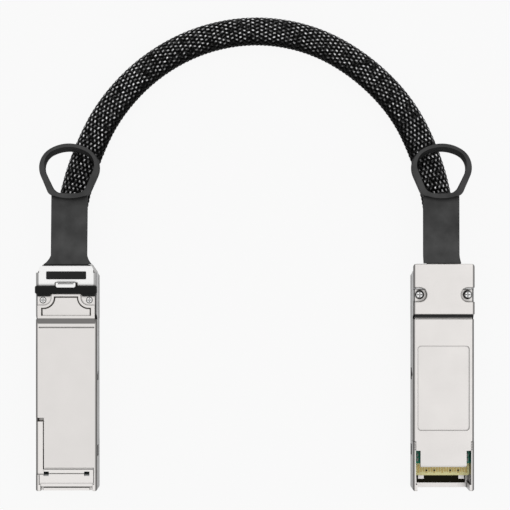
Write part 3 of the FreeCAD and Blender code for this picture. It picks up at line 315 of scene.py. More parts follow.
def open_share(tree, distance, start, end):
    """1 on open faces, 0 in grooves and corners where light doesn't reach, for painted shade."""
    node = add_node(tree, "ShaderNodeAmbientOcclusion", {"Distance": distance}, samples=8)
    return ramp(tree, node.outputs["AO"], start, end)


def facing(tree, axis):
    """How far a face looks along an axis, from -1 to 1."""
    true = add_node(tree, "ShaderNodeNewGeometry").outputs["True Normal"]
    return parts_of(tree, true)[axis]


def level_share(tree):
    """1 on level faces, 0 on upright ones."""
    return ramp(tree, maths(tree, "ABSOLUTE", facing(tree, "Z")), 0.15, 0.80)


def slope_to_nose(tree):
    """1 on the left head's front, which slopes down towards the nose."""
    return within(tree, facing(tree, "Y"), SLOPE_FACING, SLOPE_REACH)


def from_middle(tree, axes):
    """Metres out from the middle line of a plug, less than zero towards the other plug."""
    return maths(tree, "SUBTRACT", maths(tree, "ABSOLUTE", axes["X"]), PLUG_MIDDLE)


def outer_share(tree, across, start):
    """0 over the plug's faces, 1 further out than the start, on either side."""
    return ramp(tree, maths(tree, "ABSOLUTE", across), start, start + SIDE_BLEND)


def closed_in(tree, axes):
    """1 on the upper face of the left plug's card, which the key shell covers, for painted shade.
    """
    return maths(tree, "MULTIPLY", maths(tree, "LESS_THAN", axes["X"], 0.0), maths(
        tree, "GREATER_THAN", axes["Z"], MIDDLE_LEVEL))


def within(tree, value, middle, reach):
    """1 where the value is nearer to the middle than the reach, 0 elsewhere."""
    away = maths(tree, "ABSOLUTE", maths(tree, "SUBTRACT", value, middle))
    return maths(tree, "LESS_THAN", away, reach)


# ---- Finishes ---------------------------------------------------------------------------------
def nickel_plated_casting(look):
    """Satin nickel over a die casting: a fine skin, cloudy gloss, bright worn edges.

    Painted shade darkens narrow grooves, the hollows inside the shells, upright walls, the slope
    in front of the left head and the plug's sides. It is lighter on the left plug's rail and nose,
    and a near-black patch of painted shade covers the inside of the key face at the nose.
    """
    material, tree, shader, place = start_material(
        "nickel_plated_casting", 1.0, look.nickel, look.nickel_roughness)
    soft, edge = edge_mask(tree, 0.00012)
    cloud = noise(tree, place, 160.0, 3.0)
    grain = noise(tree, place, 2600.0, 2.0)
    axes = parts_of(tree, place)
    across = from_middle(tree, axes)
    groove = open_share(tree, 0.0007, 0.40, 0.88)
    hollow = open_share(tree, 0.0060, 0.05, 0.50)
    plated = mixed(tree, cloud, shaded(look.nickel, 0.97), shaded(look.nickel, 1.03))
    worn = mixed(tree, edge, plated, shaded(look.nickel, 1.04))
    left = maths(tree, "LESS_THAN", axes["X"], 0.0)
    rail = maths(tree, "MULTIPLY", maths(tree, "LESS_THAN", axes["Y"], RAIL_START),
                 maths(tree, "LESS_THAN", axes["X"], -PLUG_MIDDLE - RAIL_INSIDE))
    rail_and_nose = maths(tree, "MULTIPLY", left, maths(
        tree, "MAXIMUM", rail, maths(tree, "LESS_THAN", axes["Y"], NOSE_END)))
    retoned = mixed(tree, rail_and_nose, worn, shaded(look.nickel, 1.09))
    # Painted shade: upright walls darker, and the slope in front of the left head darker still
    walls_shaded = mixed(tree, level_share(tree), shaded(look.nickel, 0.33), retoned)
    slope_shaded = mixed(tree, slope_to_nose(tree), walls_shaded, shaded(look.nickel, 0.26))
    # Painted shade in narrow grooves, and a dark brown in the hollows inside the shells
    groove_shaded = mixed(tree, groove, shaded(look.nickel, PAINTED_SHADE), slope_shaded)
    inner = mixed(tree, hollow, (0.045, 0.038, 0.028, 1.0), groove_shaded)
    # Painted shade down the plug's sides, darkest in their grooves
    side_shaded = mixed(tree, groove, shaded(look.nickel, PAINTED_SHADE), shaded(look.nickel, 0.20))
    sided = mixed(tree, outer_share(tree, across, SIDE_FROM), inner, side_shaded)
    # Painted shade: a near-black patch on the inside of the key face at the nose
    level = maths(tree, "ABSOLUTE", maths(tree, "SUBTRACT", axes["Z"], MIDDLE_LEVEL))
    nose_shade = maths(tree, "MULTIPLY", within(tree, across, 0.0, NOSE_SHADE_HALF), maths(
        tree, "MULTIPLY", within(tree, axes["Y"], NOSE_SHADE_MIDDLE, NOSE_SHADE_REACH),
        within(tree, level, NOSE_SHADE_LEVEL, NOSE_SHADE_LEVEL_REACH)))
    tree.links.new(mixed(tree, nose_shade, sided, (0.009, 0.008, 0.005, 1.0)),
                   shader.inputs["Base Color"])
    gloss = between(tree, cloud, look.nickel_roughness - 0.05, look.nickel_roughness + 0.06)
    polished = maths(tree, "SUBTRACT", gloss, maths(tree, "MULTIPLY", edge, 0.10))
    tree.links.new(polished, shader.inputs["Roughness"])
    tree.links.new(bump(tree, grain, 0.000006, soft), shader.inputs["Normal"])
    return material


def stamped_steel(look):
    """Rolled sheet, fine lines the way it was rolled; painted shade on its edges, folds, walls,
    corners.
    """
    material, tree, shader, place = start_material(
        "stamped_steel", 1.0, look.steel, 0.26)
    soft, edge = edge_mask(tree, 0.00008)
    lines = noise(tree, stretched(tree, place, (9000.0, 260.0, 9000.0)), 1.0, 2.0)
    smears = noise(tree, place, 220.0, 2.0)
    across = from_middle(tree, parts_of(tree, place))
    tone = mixed(tree, lines, shaded(look.steel, 0.92), shaded(look.steel, 1.04))
    # Painted shade at sheared edges, on upright walls, at folded edges and in corners
    edge_shaded = mixed(tree, edge, tone, shaded(look.steel, 0.70))
    walls_shaded = mixed(tree, level_share(tree), shaded(look.steel, 0.40), edge_shaded)
    fold_shaded = mixed(tree, outer_share(tree, across, FOLD_FROM), walls_shaded, shaded(look.steel, 0.35))
    corner = open_share(tree, 0.0009, 0.45, 0.92)
    tree.links.new(mixed(tree, corner, shaded(look.steel, 0.06), fold_shaded),
                   shader.inputs["Base Color"])
    tree.links.new(between(tree, smears, 0.24, 0.36), shader.inputs["Roughness"])
    tree.links.new(bump(tree, lines, 0.000002, soft), shader.inputs["Normal"])
    return material


def turned_screw_steel(look):
    """Plated screw heads, bright on the face, with painted shade in the recess and round the rim.
    """
    material, tree, shader, place = start_material(
        "turned_screw_steel", 1.0, shaded(look.steel, 0.9), 0.30)
    soft, edge = edge_mask(tree, 0.00006)
    speckle = noise(tree, place, 3500.0, 2.0)
    # Painted shade in the recess, and in a ring round each head's rim
    depth = open_share(tree, 0.0005, 0.45, 0.85)
    face = mixed(tree, speckle, shaded(look.steel, 0.85), shaded(look.steel, 1.0))
    rims = 0.0
    for side, (across, along, radius) in SCREW_RIMS.items():
        shift = add_node(tree, "ShaderNodeVectorMath", {0: place, 1: (
            side * PLUG_MIDDLE, along, 0.0)}, operation="SUBTRACT").outputs[0]
        axes = parts_of(tree, shift)
        flat = add_node(tree, "ShaderNodeCombineXYZ", {
            "X": maths(tree, "SUBTRACT", maths(tree, "ABSOLUTE", axes["X"]), across),
            "Y": axes["Y"]})
        out = add_node(tree, "ShaderNodeVectorMath", {0: flat.outputs[0]}, operation="LENGTH")
        rims = maths(tree, "ADD", rims, within(
            tree, out.outputs["Value"], radius, SCREW_RIM_HALF))
    rim_shaded = mixed(tree, rims, mixed(tree, edge, face, look.steel), shaded(look.steel, PAINTED_SHADE))
    tree.links.new(mixed(tree, depth, shaded(look.steel, PAINTED_SHADE), rim_shaded),
                   shader.inputs["Base Color"])
    tree.links.new(between(tree, speckle, 0.24, 0.38), shader.inputs["Roughness"])
    tree.links.new(bump(tree, speckle, 0.000003, soft), shader.inputs["Normal"])
    return material


def drawn_spring_wire(look):
    """Drawn spring wire with a faint straw tone."""
    material, tree, shader, place = start_material(
        "drawn_spring_wire", 1.0, (0.55, 0.53, 0.48, 1.0), 0.28)
    streaks = noise(tree, place, 4000.0, 2.0)
    tree.links.new(mixed(tree, streaks, (0.46, 0.44, 0.40, 1.0), (0.62, 0.60, 0.55, 1.0)),
                   shader.inputs["Base Color"])
    tree.links.new(between(tree, streaks, 0.22, 0.36), shader.inputs["Roughness"])
    return material


def pressed_clamp_steel(look):
    """Zinc-plated sheet of the cable clamps, with a cloudy plating."""
    material, tree, shader, place = start_material(
        "pressed_clamp_steel", 1.0, (0.60, 0.61, 0.62, 1.0), 0.38)
    cloud = noise(tree, place, 700.0, 3.0)
    tree.links.new(mixed(tree, cloud, (0.50, 0.51, 0.53, 1.0), (0.66, 0.67, 0.67, 1.0)),
                   shader.inputs["Base Color"])
    tree.links.new(between(tree, cloud, 0.30, 0.46), shader.inputs["Roughness"])
    return material


def coated_circuit_card(look):
    """Glass laminate: green coating over faint tracks, a bare straw edge under the contacts."""
    material, tree, shader, place = start_material(
        "coated_circuit_card", 0.0, look.mask, 0.30)
    axes = parts_of(tree, place)
    coated = ramp(tree, axes["Y"], COATING_START, COATING_START + COATING_BLEND)
    tracks = add_node(tree, "ShaderNodeTexWave", {
        "Vector": place, "Scale": 196.0, "Distortion": 0.0}, wave_type="BANDS",
        bands_direction="X")
    track = ramp(tree, tracks.outputs["Fac"], 0.55, 0.75)
    green = mixed(tree, track, look.mask, shaded(look.mask, 1.7))
    weave = noise(tree, stretched(tree, place, (5200.0, 5200.0, 900.0)), 1.0, 1.0)
    bare = mixed(tree, weave, shaded(look.laminate, 0.86), shaded(look.laminate, 1.1))
    finish = mixed(tree, coated, bare, green)
    # Painted shade on the card face that the key shell covers
    tree.links.new(mixed(tree, closed_in(tree, axes), finish, (0.004, 0.018, 0.014, 1.0)),
                   shader.inputs["Base Color"])
    tree.links.new(between(tree, coated, 0.50, 0.24), shader.inputs["Roughness"])
    relief = maths(tree, "MULTIPLY", track, coated)
    height = maths(tree, "ADD", relief, maths(tree, "MULTIPLY", weave, 0.3))
    tree.links.new(bump(tree, height, 0.000015), shader.inputs["Normal"])
    return material


def gold_plating(look):
    """Hard gold over nickel on the contact pads, with a dot of painted shade on four ground pads.
    """
    material, tree, shader, place = start_material(
        "gold_plating", 1.0, (0.72, 0.58, 0.27, 1.0), 0.34)
    wipe = noise(tree, stretched(tree, place, (6000.0, 700.0, 3000.0)), 1.0, 2.0)
    gold = mixed(tree, wipe, (0.28, 0.20, 0.07, 1.0), (0.48, 0.37, 0.15, 1.0))
    axes = parts_of(tree, place)
    across = from_middle(tree, axes)
    # Dark dots of painted shade on four ground pads
    from_pad = maths(tree, "PINGPONG", across, GROUND_PAD_PITCH / 2)
    ahead = maths(tree, "ABSOLUTE", maths(tree, "ADD", axes["Y"], SHADE_DOT_BACK))
    undotted = maths(tree, "SUBTRACT", 1.0, within(
        tree, maths(tree, "ABSOLUTE", across), 1.5 * GROUND_PAD_PITCH, GROUND_PAD_PITCH))
    from_shade_dot = maths(tree, "ADD", maths(tree, "MAXIMUM", from_pad, ahead), undotted)
    solid = ramp(tree, from_shade_dot, SHADE_DOT_RADIUS, SHADE_DOT_RADIUS + SHADE_DOT_BLEND)
    shade_dotted = mixed(tree, solid, (0.02, 0.014, 0.008, 1.0), gold)
    # Painted shade on the pads that the key shell covers
    tree.links.new(mixed(tree, closed_in(tree, axes), shade_dotted, (0.004, 0.012, 0.009, 1.0)),
                   shader.inputs["Base Color"])
    tree.links.new(between(tree, wipe, 0.26, 0.44), shader.inputs["Roughness"])
    return material


def moulded_chip_epoxy(look):
    """Matte black moulding compound with a fine grain."""
    material, tree, shader, place = start_material(
        "moulded_chip_epoxy", 0.0, (0.018, 0.018, 0.019, 1.0), 0.60)
    grain = noise(tree, place, 6000.0, 2.0)
    tree.links.new(mixed(tree, grain, (0.014, 0.014, 0.015, 1.0), (0.026, 0.026, 0.027, 1.0)),
                   shader.inputs["Base Color"])
    tree.links.new(bump(tree, grain, 0.000006), shader.inputs["Normal"])
    return material


def fired_ceramic(look):
    """Pale ceramic of the small capacitors, mottled like their tinned ends."""
    material, tree, shader, place = start_material(
        "fired_ceramic", 0.0, (0.60, 0.58, 0.53, 1.0), 0.42)
    grain = noise(tree, place, 5000.0, 2.0)
    tree.links.new(mixed(tree, grain, (0.48, 0.45, 0.40, 1.0), (0.72, 0.70, 0.66, 1.0)),
                   shader.inputs["Base Color"])
    return material


def wire_insulation(look):
    """Smooth pale jacket of the twin leads."""
    material, tree, shader, place = start_material(
        "wire_insulation", 0.0, (0.55, 0.60, 0.66, 1.0), 0.40)
    streaks = noise(tree, stretched(tree, place, (3000.0, 300.0, 3000.0)), 1.0, 2.0)
    tree.links.new(mixed(tree, streaks, (0.48, 0.53, 0.60, 1.0), (0.62, 0.66, 0.71, 1.0)),
                   shader.inputs["Base Color"])
    tree.links.new(between(tree, streaks, 0.34, 0.48), shader.inputs["Roughness"])
    return material


def moulded_elastomer(look):
    """Soft dark grey moulding, sandy and dull; painted shade at edges, walls, corners, in the
    head.
    """
    material, tree, shader, place = start_material(
        "moulded_elastomer", 0.0, look.elastomer, 0.58)
    shader.inputs["Specular IOR Level"].default_value = 0.06
    soft, edge = edge_mask(tree, 0.00030)
    sand = noise(tree, place, 3200.0, 3.0)
    flow = noise(tree, place, 170.0, 3.0)
    free = ramp(tree, parts_of(tree, place)["Y"], TAB_SHUT, TAB_FREE)
    corner = open_share(tree, 0.0014, 0.40, 0.95)
    tone = mixed(tree, flow, shaded(look.elastomer, 0.30), shaded(look.elastomer, 1.70))
    # Painted shade: edges, upright walls, corners and the part inside the head are darker
    retoned = mixed(tree, edge, tone, shaded(look.elastomer, 0.55))
    walls_shaded = mixed(tree, level_share(tree), shaded(look.elastomer, 0.02), retoned)
    cornered = mixed(tree, corner, shaded(look.elastomer, 0.12), walls_shaded)
    tree.links.new(mixed(tree, free, shaded(look.elastomer, 0.36), cornered),
                   shader.inputs["Base Color"])
    dull = between(tree, sand, 0.52, 0.68)
    tree.links.new(maths(tree, "SUBTRACT", dull, maths(tree, "MULTIPLY", edge, 0.10)),
                   shader.inputs["Roughness"])
    tree.links.new(bump(tree, sand, 0.000014, soft), shader.inputs["Normal"])
    return material


def glossy_bar_plastic(look):
    """Hard black moulding with softly rounded edges and faint scuffs."""
    material, tree, shader, place = start_material(
        "glossy_bar_plastic", 0.0, (0.006, 0.006, 0.006, 1.0), 0.30)
    shader.inputs["Specular IOR Level"].default_value = 0.15
    soft, edge = edge_mask(tree, 0.00025)
    scuffs = noise(tree, stretched(tree, place, (500.0, 4000.0, 4000.0)), 1.0, 3.0)
    tree.links.new(mixed(tree, edge, (0.005, 0.005, 0.005, 1.0), (0.022, 0.022, 0.023, 1.0)),
                   shader.inputs["Base Color"])
    tree.links.new(between(tree, scuffs, 0.24, 0.44), shader.inputs["Roughness"])
    tree.links.new(bump(tree, scuffs, 0.000004, soft), shader.inputs["Normal"])
    return material


def conductive_gasket(look):
    """Black foam strip: open, dull and slightly uneven."""
    material, tree, shader, place = start_material(
        "conductive_gasket", 0.0, (0.010, 0.010, 0.010, 1.0), 0.85)
    cells = noise(tree, place, 4200.0, 3.0)
    tree.links.new(mixed(tree, cells, (0.006, 0.006, 0.006, 1.0), (0.022, 0.022, 0.022, 1.0)),
                   shader.inputs["Base Color"])
    tree.links.new(bump(tree, cells, 0.00004), shader.inputs["Normal"])
    return material


def dark_inner_jacket(look):
    """Dull black jacket that shows between the strands."""
    material, tree, shader, place = start_material(
        "dark_inner_jacket", 0.0, (0.002, 0.002, 0.002, 1.0), 0.75)
    shader.inputs["Specular IOR Level"].default_value = 0.05
    fuzz = noise(tree, place, 3000.0, 3.0)
    tree.links.new(mixed(tree, fuzz, (0.001, 0.001, 0.001, 1.0), (0.004, 0.004, 0.004, 1.0)),
                   shader.inputs["Base Color"])
    tree.links.new(bump(tree, fuzz, 0.00003), shader.inputs["Normal"])
    return material


def braided_filament(look, pitch):
    """Black filaments, three side by side in each strand, drawn on the strand's own map.

    Painted glints make the middle of each length that lies on top bright, and painted sheen makes
    single threads grey; painted shade keeps both off the inside of the arch.
    """
    material, tree, shader, place = start_material(
        "braided_filament", 0.0, look.filament, 0.24)
    shader.inputs["Specular IOR Level"].default_value = 0.05
    chart = add_node(tree, "ShaderNodeUVMap", uv_map="UVMap").outputs["UV"]
    axes = parts_of(tree, chart)
    rounds = maths(tree, "ABSOLUTE", maths(tree, "SINE", maths(
        tree, "MULTIPLY", axes["Y"], 3.0 * math.pi)))
    phase = maths(tree, "MULTIPLY", axes["X"], 2 * math.pi / pitch)
    crest = ramp(tree, maths(tree, "COSINE", phase), 0.50, 0.95)
    hand = add_node(tree, "ShaderNodeAttribute", attribute_name="hand").outputs["Fac"]
    lean = maths(tree, "MULTIPLY", maths(tree, "SINE", phase), maths(
        tree, "MULTIPLY", hand, GLINT_LEAN))
    off_back = maths(tree, "ABSOLUTE", maths(tree, "ADD", axes["Y"], lean))
    top = maths(tree, "MULTIPLY", crest, ramp(tree, off_back, 0.38, 0.10))
    # Painted glints on the crests of the strands, with metal in them
    lone = ramp(tree, noise(tree, place, 620.0, 1.0), 0.34, 0.60)
    grain = ramp(tree, noise(tree, place, 2000.0, 1.0), 0.26, 0.52)
    # Painted shade keeps the painted glints and painted sheen off the inside of the arch
    side = add_node(tree, "ShaderNodeAttribute", attribute_name="inner_side").outputs["Fac"]
    outward = ramp(tree, side, 0.80, 0.45)
    kept = maths(tree, "MULTIPLY", outward, maths(tree, "MULTIPLY", lone, grain))
    painted_glint = maths(tree, "MULTIPLY", kept, top)
    # Painted sheen: grey single threads
    painted_sheen = ramp(tree, noise(tree, place, 1500.0, 2.0), 0.50, 0.70)
    dark = mixed(tree, maths(tree, "MULTIPLY", painted_sheen, outward),
                 shaded(look.filament, 0.5), shaded(look.filament, 34.0))
    tree.links.new(mixed(tree, painted_glint, dark, look.painted_glint), shader.inputs["Base Color"])
    tree.links.new(maths(tree, "MULTIPLY", painted_glint, 0.85), shader.inputs["Metallic"])
    strand = noise(tree, stretched(tree, chart, (900.0, 3.0, 1.0)), 1.0, 2.0)
    tree.links.new(between(tree, strand, 0.18, 0.32), shader.inputs["Roughness"])
    tree.links.new(bump(tree, rounds, 0.00004), shader.inputs["Normal"])
    return material


SLOT_FINISHES = {
    "nickel_shell": nickel_plated_casting,
    "slider_steel": stamped_steel,
    "screw_steel": turned_screw_steel,
    "spring_steel": drawn_spring_wire,
    "clamp_steel": pressed_clamp_steel,
    "green_laminate": coated_circuit_card,
    "gold_contact": gold_plating,
    "chip_epoxy": moulded_chip_epoxy,
    "ceramic": fired_ceramic,
    "wire_jacket": wire_insulation,
    "bar_plastic": glossy_bar_plastic,
    "pull_elastomer": moulded_elastomer,
    "gasket_rubber": conductive_gasket,
    "braid": dark_inner_jacket,
}


# ---- Sleeve -----------------------------------------------------------------------------------
def route_line():
    """The sleeve's centre line as a mesh of points and edges, read from its smooth spline."""
    curve = bpy.data.curves.new("sleeve_route", "CURVE")
    curve.dimensions = "3D"
    spline = curve.splines.new("NURBS")
    spline.points.add(len(SLEEVE_ROUTE) - 1)
    for point, place in zip(spline.points, SLEEVE_ROUTE):
        point.co = (*place, 1.0)
    spline.order_u = 3
    spline.use_endpoint_u = True
    spline.resolution_u = ROUTE_STEPS
    route = bpy.data.objects.new("sleeve_route", curve)
    bpy.context.scene.collection.objects.link(route)
    graph = bpy.context.evaluated_depsgraph_get()
    line = bpy.data.meshes.new_from_object(route.evaluated_get(graph), depsgraph=graph)
    bpy.data.objects.remove(route)
    bpy.data.curves.remove(curve)
    return line


def oval_tube(name, points, width_at, height_at, sides):
    """A closed tube of oval section round a level line, its size given at each share of it."""
    rings = []
    last = len(points) - 1
    for index, point in enumerate(points):
        ahead = points[min(index + 1, last)] - points[max(index - 1, 0)]
        across = Vector((ahead.y, -ahead.x, 0.0)).normalized()
        share = index / last
        ring = []
        for side in range(sides):
            angle = 2 * math.pi * side / sides
            ring.append(point + across * (width_at(share) / 2 * math.cos(angle))
                        + Vector((0, 0, height_at(share) / 2 * math.sin(angle))))
        rings.append(ring)
    corners = [corner for ring in rings for corner in ring]
    faces = []
    for index in range(last):
        for side in range(sides):
            a, b = index * sides + side, index * sides + (side + 1) % sides
            faces.append((a + sides, a, b, b + sides))
    first_end = list(range(sides))
    far_end = [last * sides + side for side in reversed(range(sides))]
    mesh = bpy.data.meshes.new(name)
    mesh.from_pydata(corners, [], faces + [first_end, far_end])
    mesh.validate()
    for face in mesh.polygons:
        face.use_smooth = len(face.vertices) == 4
    tube = bpy.data.objects.new(name, mesh)
    bpy.context.scene.collection.objects.link(tube)
    return tube


def bulge(share):
    """0 at the sleeve's ends and 1 at mid length."""
    return math.sin(math.pi * share) ** 2


class LaySleeveCore(bpy.types.Operator):
    """Lays the sleeve's inner jacket along its route between the plugs"""

    bl_idname = "cable.lay_sleeve_core"
    bl_label = "Lay sleeve core"

    def execute(self, context):
        sleeve, braid = context.scene.cable_sleeve, context.scene.cable_braid
        line = route_line()
        points = [vertex.co.copy() for vertex in line.vertices]
        bpy.data.meshes.remove(line)
        cover = 2 * (2 * braid.wave + braid.ribbon_thickness)
        core = oval_tube(
            "sleeve_core", points,
            lambda share: sleeve.width - cover - sleeve.bend_narrowing * bulge(share),
            lambda share: sleeve.height - cover + sleeve.bend_thickening * bulge(share),
            CORE_SIDES)
        core.data.materials.append(dark_inner_jacket(context.scene.cable_finish))
        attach(core, ROOT_BODY)
        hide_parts("braided_sleeve")
        return {"FINISHED"}


# ---- Braid ------------------------------------------------------------------------------------
BRAID_INPUTS = (
    ("Strands", "NodeSocketInt"), ("Pitch", "NodeSocketFloat"),
    ("Ribbon Width", "NodeSocketFloat"), ("Ribbon Thickness", "NodeSocketFloat"),
    ("Wave", "NodeSocketFloat"), ("Steps", "NodeSocketInt"), ("Hand", "NodeSocketFloat"),
    ("Width", "NodeSocketFloat"), ("Height", "NodeSocketFloat"),
    ("Narrowing", "NodeSocketFloat"), ("Thickening", "NodeSocketFloat"),
    ("Material", "NodeSocketMaterial"),
)


def braid_tree():
    """One set of strands: flat ribbons side by side, rolled round the sleeve's line.

    X of a flat ribbon becomes the way along the line, Y the way round it and Z the height over it.
    """
    tree = bpy.data.node_groups.new("braid_strands", "GeometryNodeTree")
    tree.interface.new_socket("Geometry", in_out="INPUT", socket_type="NodeSocketGeometry")
    for name, kind in BRAID_INPUTS:
        tree.interface.new_socket(name, in_out="INPUT", socket_type=kind)
    tree.interface.new_socket("Geometry", in_out="OUTPUT", socket_type="NodeSocketGeometry")
    given = add_node(tree, "NodeGroupInput").outputs

    line = add_node(tree, "GeometryNodeMeshToCurve", {"Mesh": given["Geometry"]}).outputs["Curve"]
    length = add_node(tree, "GeometryNodeCurveLength", {"Curve": line}).outputs["Length"]

    # One flat ribbon with its own map: metres along it, with the tops of both hands' waves at
    # whole pitches, and -0.5 to 0.5 across it
    steps = maths(tree, "MULTIPLY", maths(tree, "DIVIDE", length, given["Pitch"]), given["Steps"])
    size = add_node(tree, "ShaderNodeCombineXYZ", {
        "X": length, "Y": given["Ribbon Width"], "Z": given["Ribbon Thickness"]})
    ribbon = add_node(tree, "GeometryNodeMeshCube", {
        "Size": size.outputs[0], "Vertices X": steps, "Vertices Y": 3, "Vertices Z": 2})
    flat = parts_of(tree, add_node(tree, "GeometryNodeInputPosition").outputs[0])
    along = maths(tree, "ADD", flat["X"], maths(tree, "MULTIPLY", length, 0.5))
    across = maths(tree, "DIVIDE", flat["Y"], given["Ribbon Width"])
    late = maths(tree, "MULTIPLY", maths(tree, "SUBTRACT", 1.0, given["Hand"]),
                 maths(tree, "MULTIPLY", given["Pitch"], 0.25))
    chart = add_node(tree, "ShaderNodeCombineXYZ", {
        "X": maths(tree, "ADD", along, late), "Y": across})
    mapped = add_node(tree, "GeometryNodeStoreNamedAttribute", {
        "Geometry": ribbon.outputs["Mesh"], "Name": "UVMap", "Value": chart.outputs[0]},
        data_type="FLOAT2", domain="CORNER")
    marked = add_node(tree, "GeometryNodeStoreNamedAttribute", {
        "Geometry": mapped.outputs[0], "Name": "across", "Value": across},
        data_type="FLOAT", domain="POINT")

    # The ribbons side by side, one pace apart, as far as the sleeve's girth goes
    girth = maths(tree, "MULTIPLY", maths(tree, "ADD", given["Width"], given["Height"]),
                  math.pi / 2)
    pace = maths(tree, "DIVIDE", girth, given["Strands"])
    offset = add_node(tree, "ShaderNodeCombineXYZ", {"Y": pace})
    row = add_node(tree, "GeometryNodeMeshLine", {
        "Count": given["Strands"], "Offset": offset.outputs[0]}, mode="OFFSET")
    copies = add_node(tree, "GeometryNodeInstanceOnPoints", {
        "Points": row.outputs["Mesh"], "Instance": marked.outputs[0]})
    real = add_node(tree, "GeometryNodeRealizeInstances", {"Geometry": copies.outputs[0]})

    # Angle round the sleeve: a strand goes round once in as many pitches as there are strands
    turn = maths(tree, "DIVIDE", along, maths(tree, "MULTIPLY", given["Pitch"], given["Strands"]))
    wound = maths(tree, "MULTIPLY_ADD", turn, given["Hand"])
    tree.links.new(maths(tree, "DIVIDE", flat["Y"], girth), wound.node.inputs[2])
    angle = maths(tree, "MULTIPLY", wound, 2 * math.pi)
    width_less = maths(tree, "SUBTRACT", given["Width"], given["Height"])
    width_more = maths(tree, "ADD", given["Width"], given["Height"])
    evenness = maths(tree, "MULTIPLY", maths(
        tree, "DIVIDE", width_less, width_more), OVAL_SPREAD)
    double = maths(tree, "SINE", maths(tree, "MULTIPLY", angle, 2.0))
    spread = maths(tree, "ADD", angle, maths(tree, "MULTIPLY", evenness, double))

    # Height over the sleeve's middle surface: up at every other crossing, and a rounded back
    cycle = maths(tree, "MULTIPLY", maths(tree, "DIVIDE", along, given["Pitch"]), 2 * math.pi)
    lift = maths(tree, "MULTIPLY", maths(tree, "COSINE", cycle),
                 maths(tree, "MULTIPLY", given["Hand"], given["Wave"]))
    side = add_node(tree, "GeometryNodeInputNamedAttribute", {"Name": "across"},
                    data_type="FLOAT").outputs["Attribute"]
    fall = maths(tree, "MULTIPLY", maths(tree, "MULTIPLY", side, side), given["Ribbon Thickness"])
    raised = maths(tree, "SUBTRACT", maths(tree, "ADD", flat["Z"], lift), fall)
    sunk = maths(tree, "ADD", given["Wave"],
                 maths(tree, "MULTIPLY", given["Ribbon Thickness"], 0.5))
    height = maths(tree, "SUBTRACT", raised, sunk)

    middle = maths(tree, "SINE", maths(tree, "MULTIPLY", maths(
        tree, "DIVIDE", along, length), math.pi))
    mid_share = maths(tree, "MULTIPLY", middle, middle)
    wide = maths(tree, "SUBTRACT", given["Width"],
                 maths(tree, "MULTIPLY", given["Narrowing"], mid_share))
    thick = maths(tree, "ADD", given["Height"],
                  maths(tree, "MULTIPLY", given["Thickening"], mid_share))
    out = maths(tree, "MULTIPLY", maths(tree, "COSINE", spread), maths(
        tree, "ADD", height, maths(tree, "MULTIPLY", wide, 0.5)))
    up = maths(tree, "MULTIPLY", maths(tree, "SINE", spread), maths(
        tree, "ADD", height, maths(tree, "MULTIPLY", thick, 0.5)))

    # Onto the sleeve's line, with each place's side of the arch and its strand's hand kept
    sample = add_node(tree, "GeometryNodeSampleCurve", {"Curves": line, "Length": along},
                      mode="LENGTH")
    level = add_node(tree, "ShaderNodeVectorMath", {
        0: sample.outputs["Tangent"], 1: (0.0, 0.0, 1.0)}, operation="CROSS_PRODUCT")
    sideways = add_node(tree, "ShaderNodeVectorMath", {0: level.outputs[0]},
                        operation="NORMALIZE")
    reach = add_node(tree, "ShaderNodeVectorMath", {0: sideways.outputs[0], "Scale": out},
                     operation="SCALE")
    rise = add_node(tree, "ShaderNodeCombineXYZ", {"Z": up})
    spot = add_node(tree, "ShaderNodeVectorMath", {
        0: sample.outputs["Position"], 1: reach.outputs[0]}, operation="ADD")
    target = add_node(tree, "ShaderNodeVectorMath", {
        0: spot.outputs[0], 1: rise.outputs[0]}, operation="ADD")
    sided = add_node(tree, "GeometryNodeStoreNamedAttribute", {
        "Geometry": real.outputs[0], "Name": "inner_side",
        "Value": maths(tree, "COSINE", spread)}, data_type="FLOAT", domain="POINT")
    handed = add_node(tree, "GeometryNodeStoreNamedAttribute", {
        "Geometry": sided.outputs[0], "Name": "hand", "Value": given["Hand"]},
        data_type="FLOAT", domain="POINT")
    rolled = add_node(tree, "GeometryNodeSetPosition", {
        "Geometry": handed.outputs[0], "Position": target.outputs[0]})
    smooth = add_node(tree, "GeometryNodeSetShadeSmooth", {"Geometry": rolled.outputs[0]})
    dressed = add_node(tree, "GeometryNodeSetMaterial", {
        "Geometry": smooth.outputs[0], "Material": given["Material"]})
    add_node(tree, "NodeGroupOutput", {0: dressed.outputs[0]})
    return tree


def braid_hand(context, name, tree, line, hand, material):
    """The strands of one direction as a plain mesh."""
    sleeve, braid = context.scene.cable_sleeve, context.scene.cable_braid
    values = {
        "Strands": braid.strands, "Pitch": braid.pitch, "Ribbon Width": braid.ribbon_width,
        "Ribbon Thickness": braid.ribbon_thickness, "Wave": braid.wave, "Steps": braid.steps,
        "Hand": hand, "Width": sleeve.width, "Height": sleeve.height,
        "Narrowing": sleeve.bend_narrowing, "Thickening": sleeve.bend_thickening,
        "Material": material,
    }
    strands = bpy.data.objects.new(name, line.copy())
    context.scene.collection.objects.link(strands)
    modifier = strands.modifiers.new("braid", "NODES")
    modifier.node_group = tree
    for item in tree.interface.items_tree:
        if item.in_out == "INPUT" and item.name in values:
            modifier[item.identifier] = values[item.name]
    graph = context.evaluated_depsgraph_get()
    mesh = bpy.data.meshes.new_from_object(
        strands.evaluated_get(graph), preserve_all_data_layers=True, depsgraph=graph)
    if len(mesh.polygons) < braid.strands * braid.steps:
        raise RuntimeError("the braid has no strands")
    strands.modifiers.remove(modifier)
    plain = strands.data
    strands.data = mesh
    bpy.data.meshes.remove(plain)
    mesh.name = name
    return strands


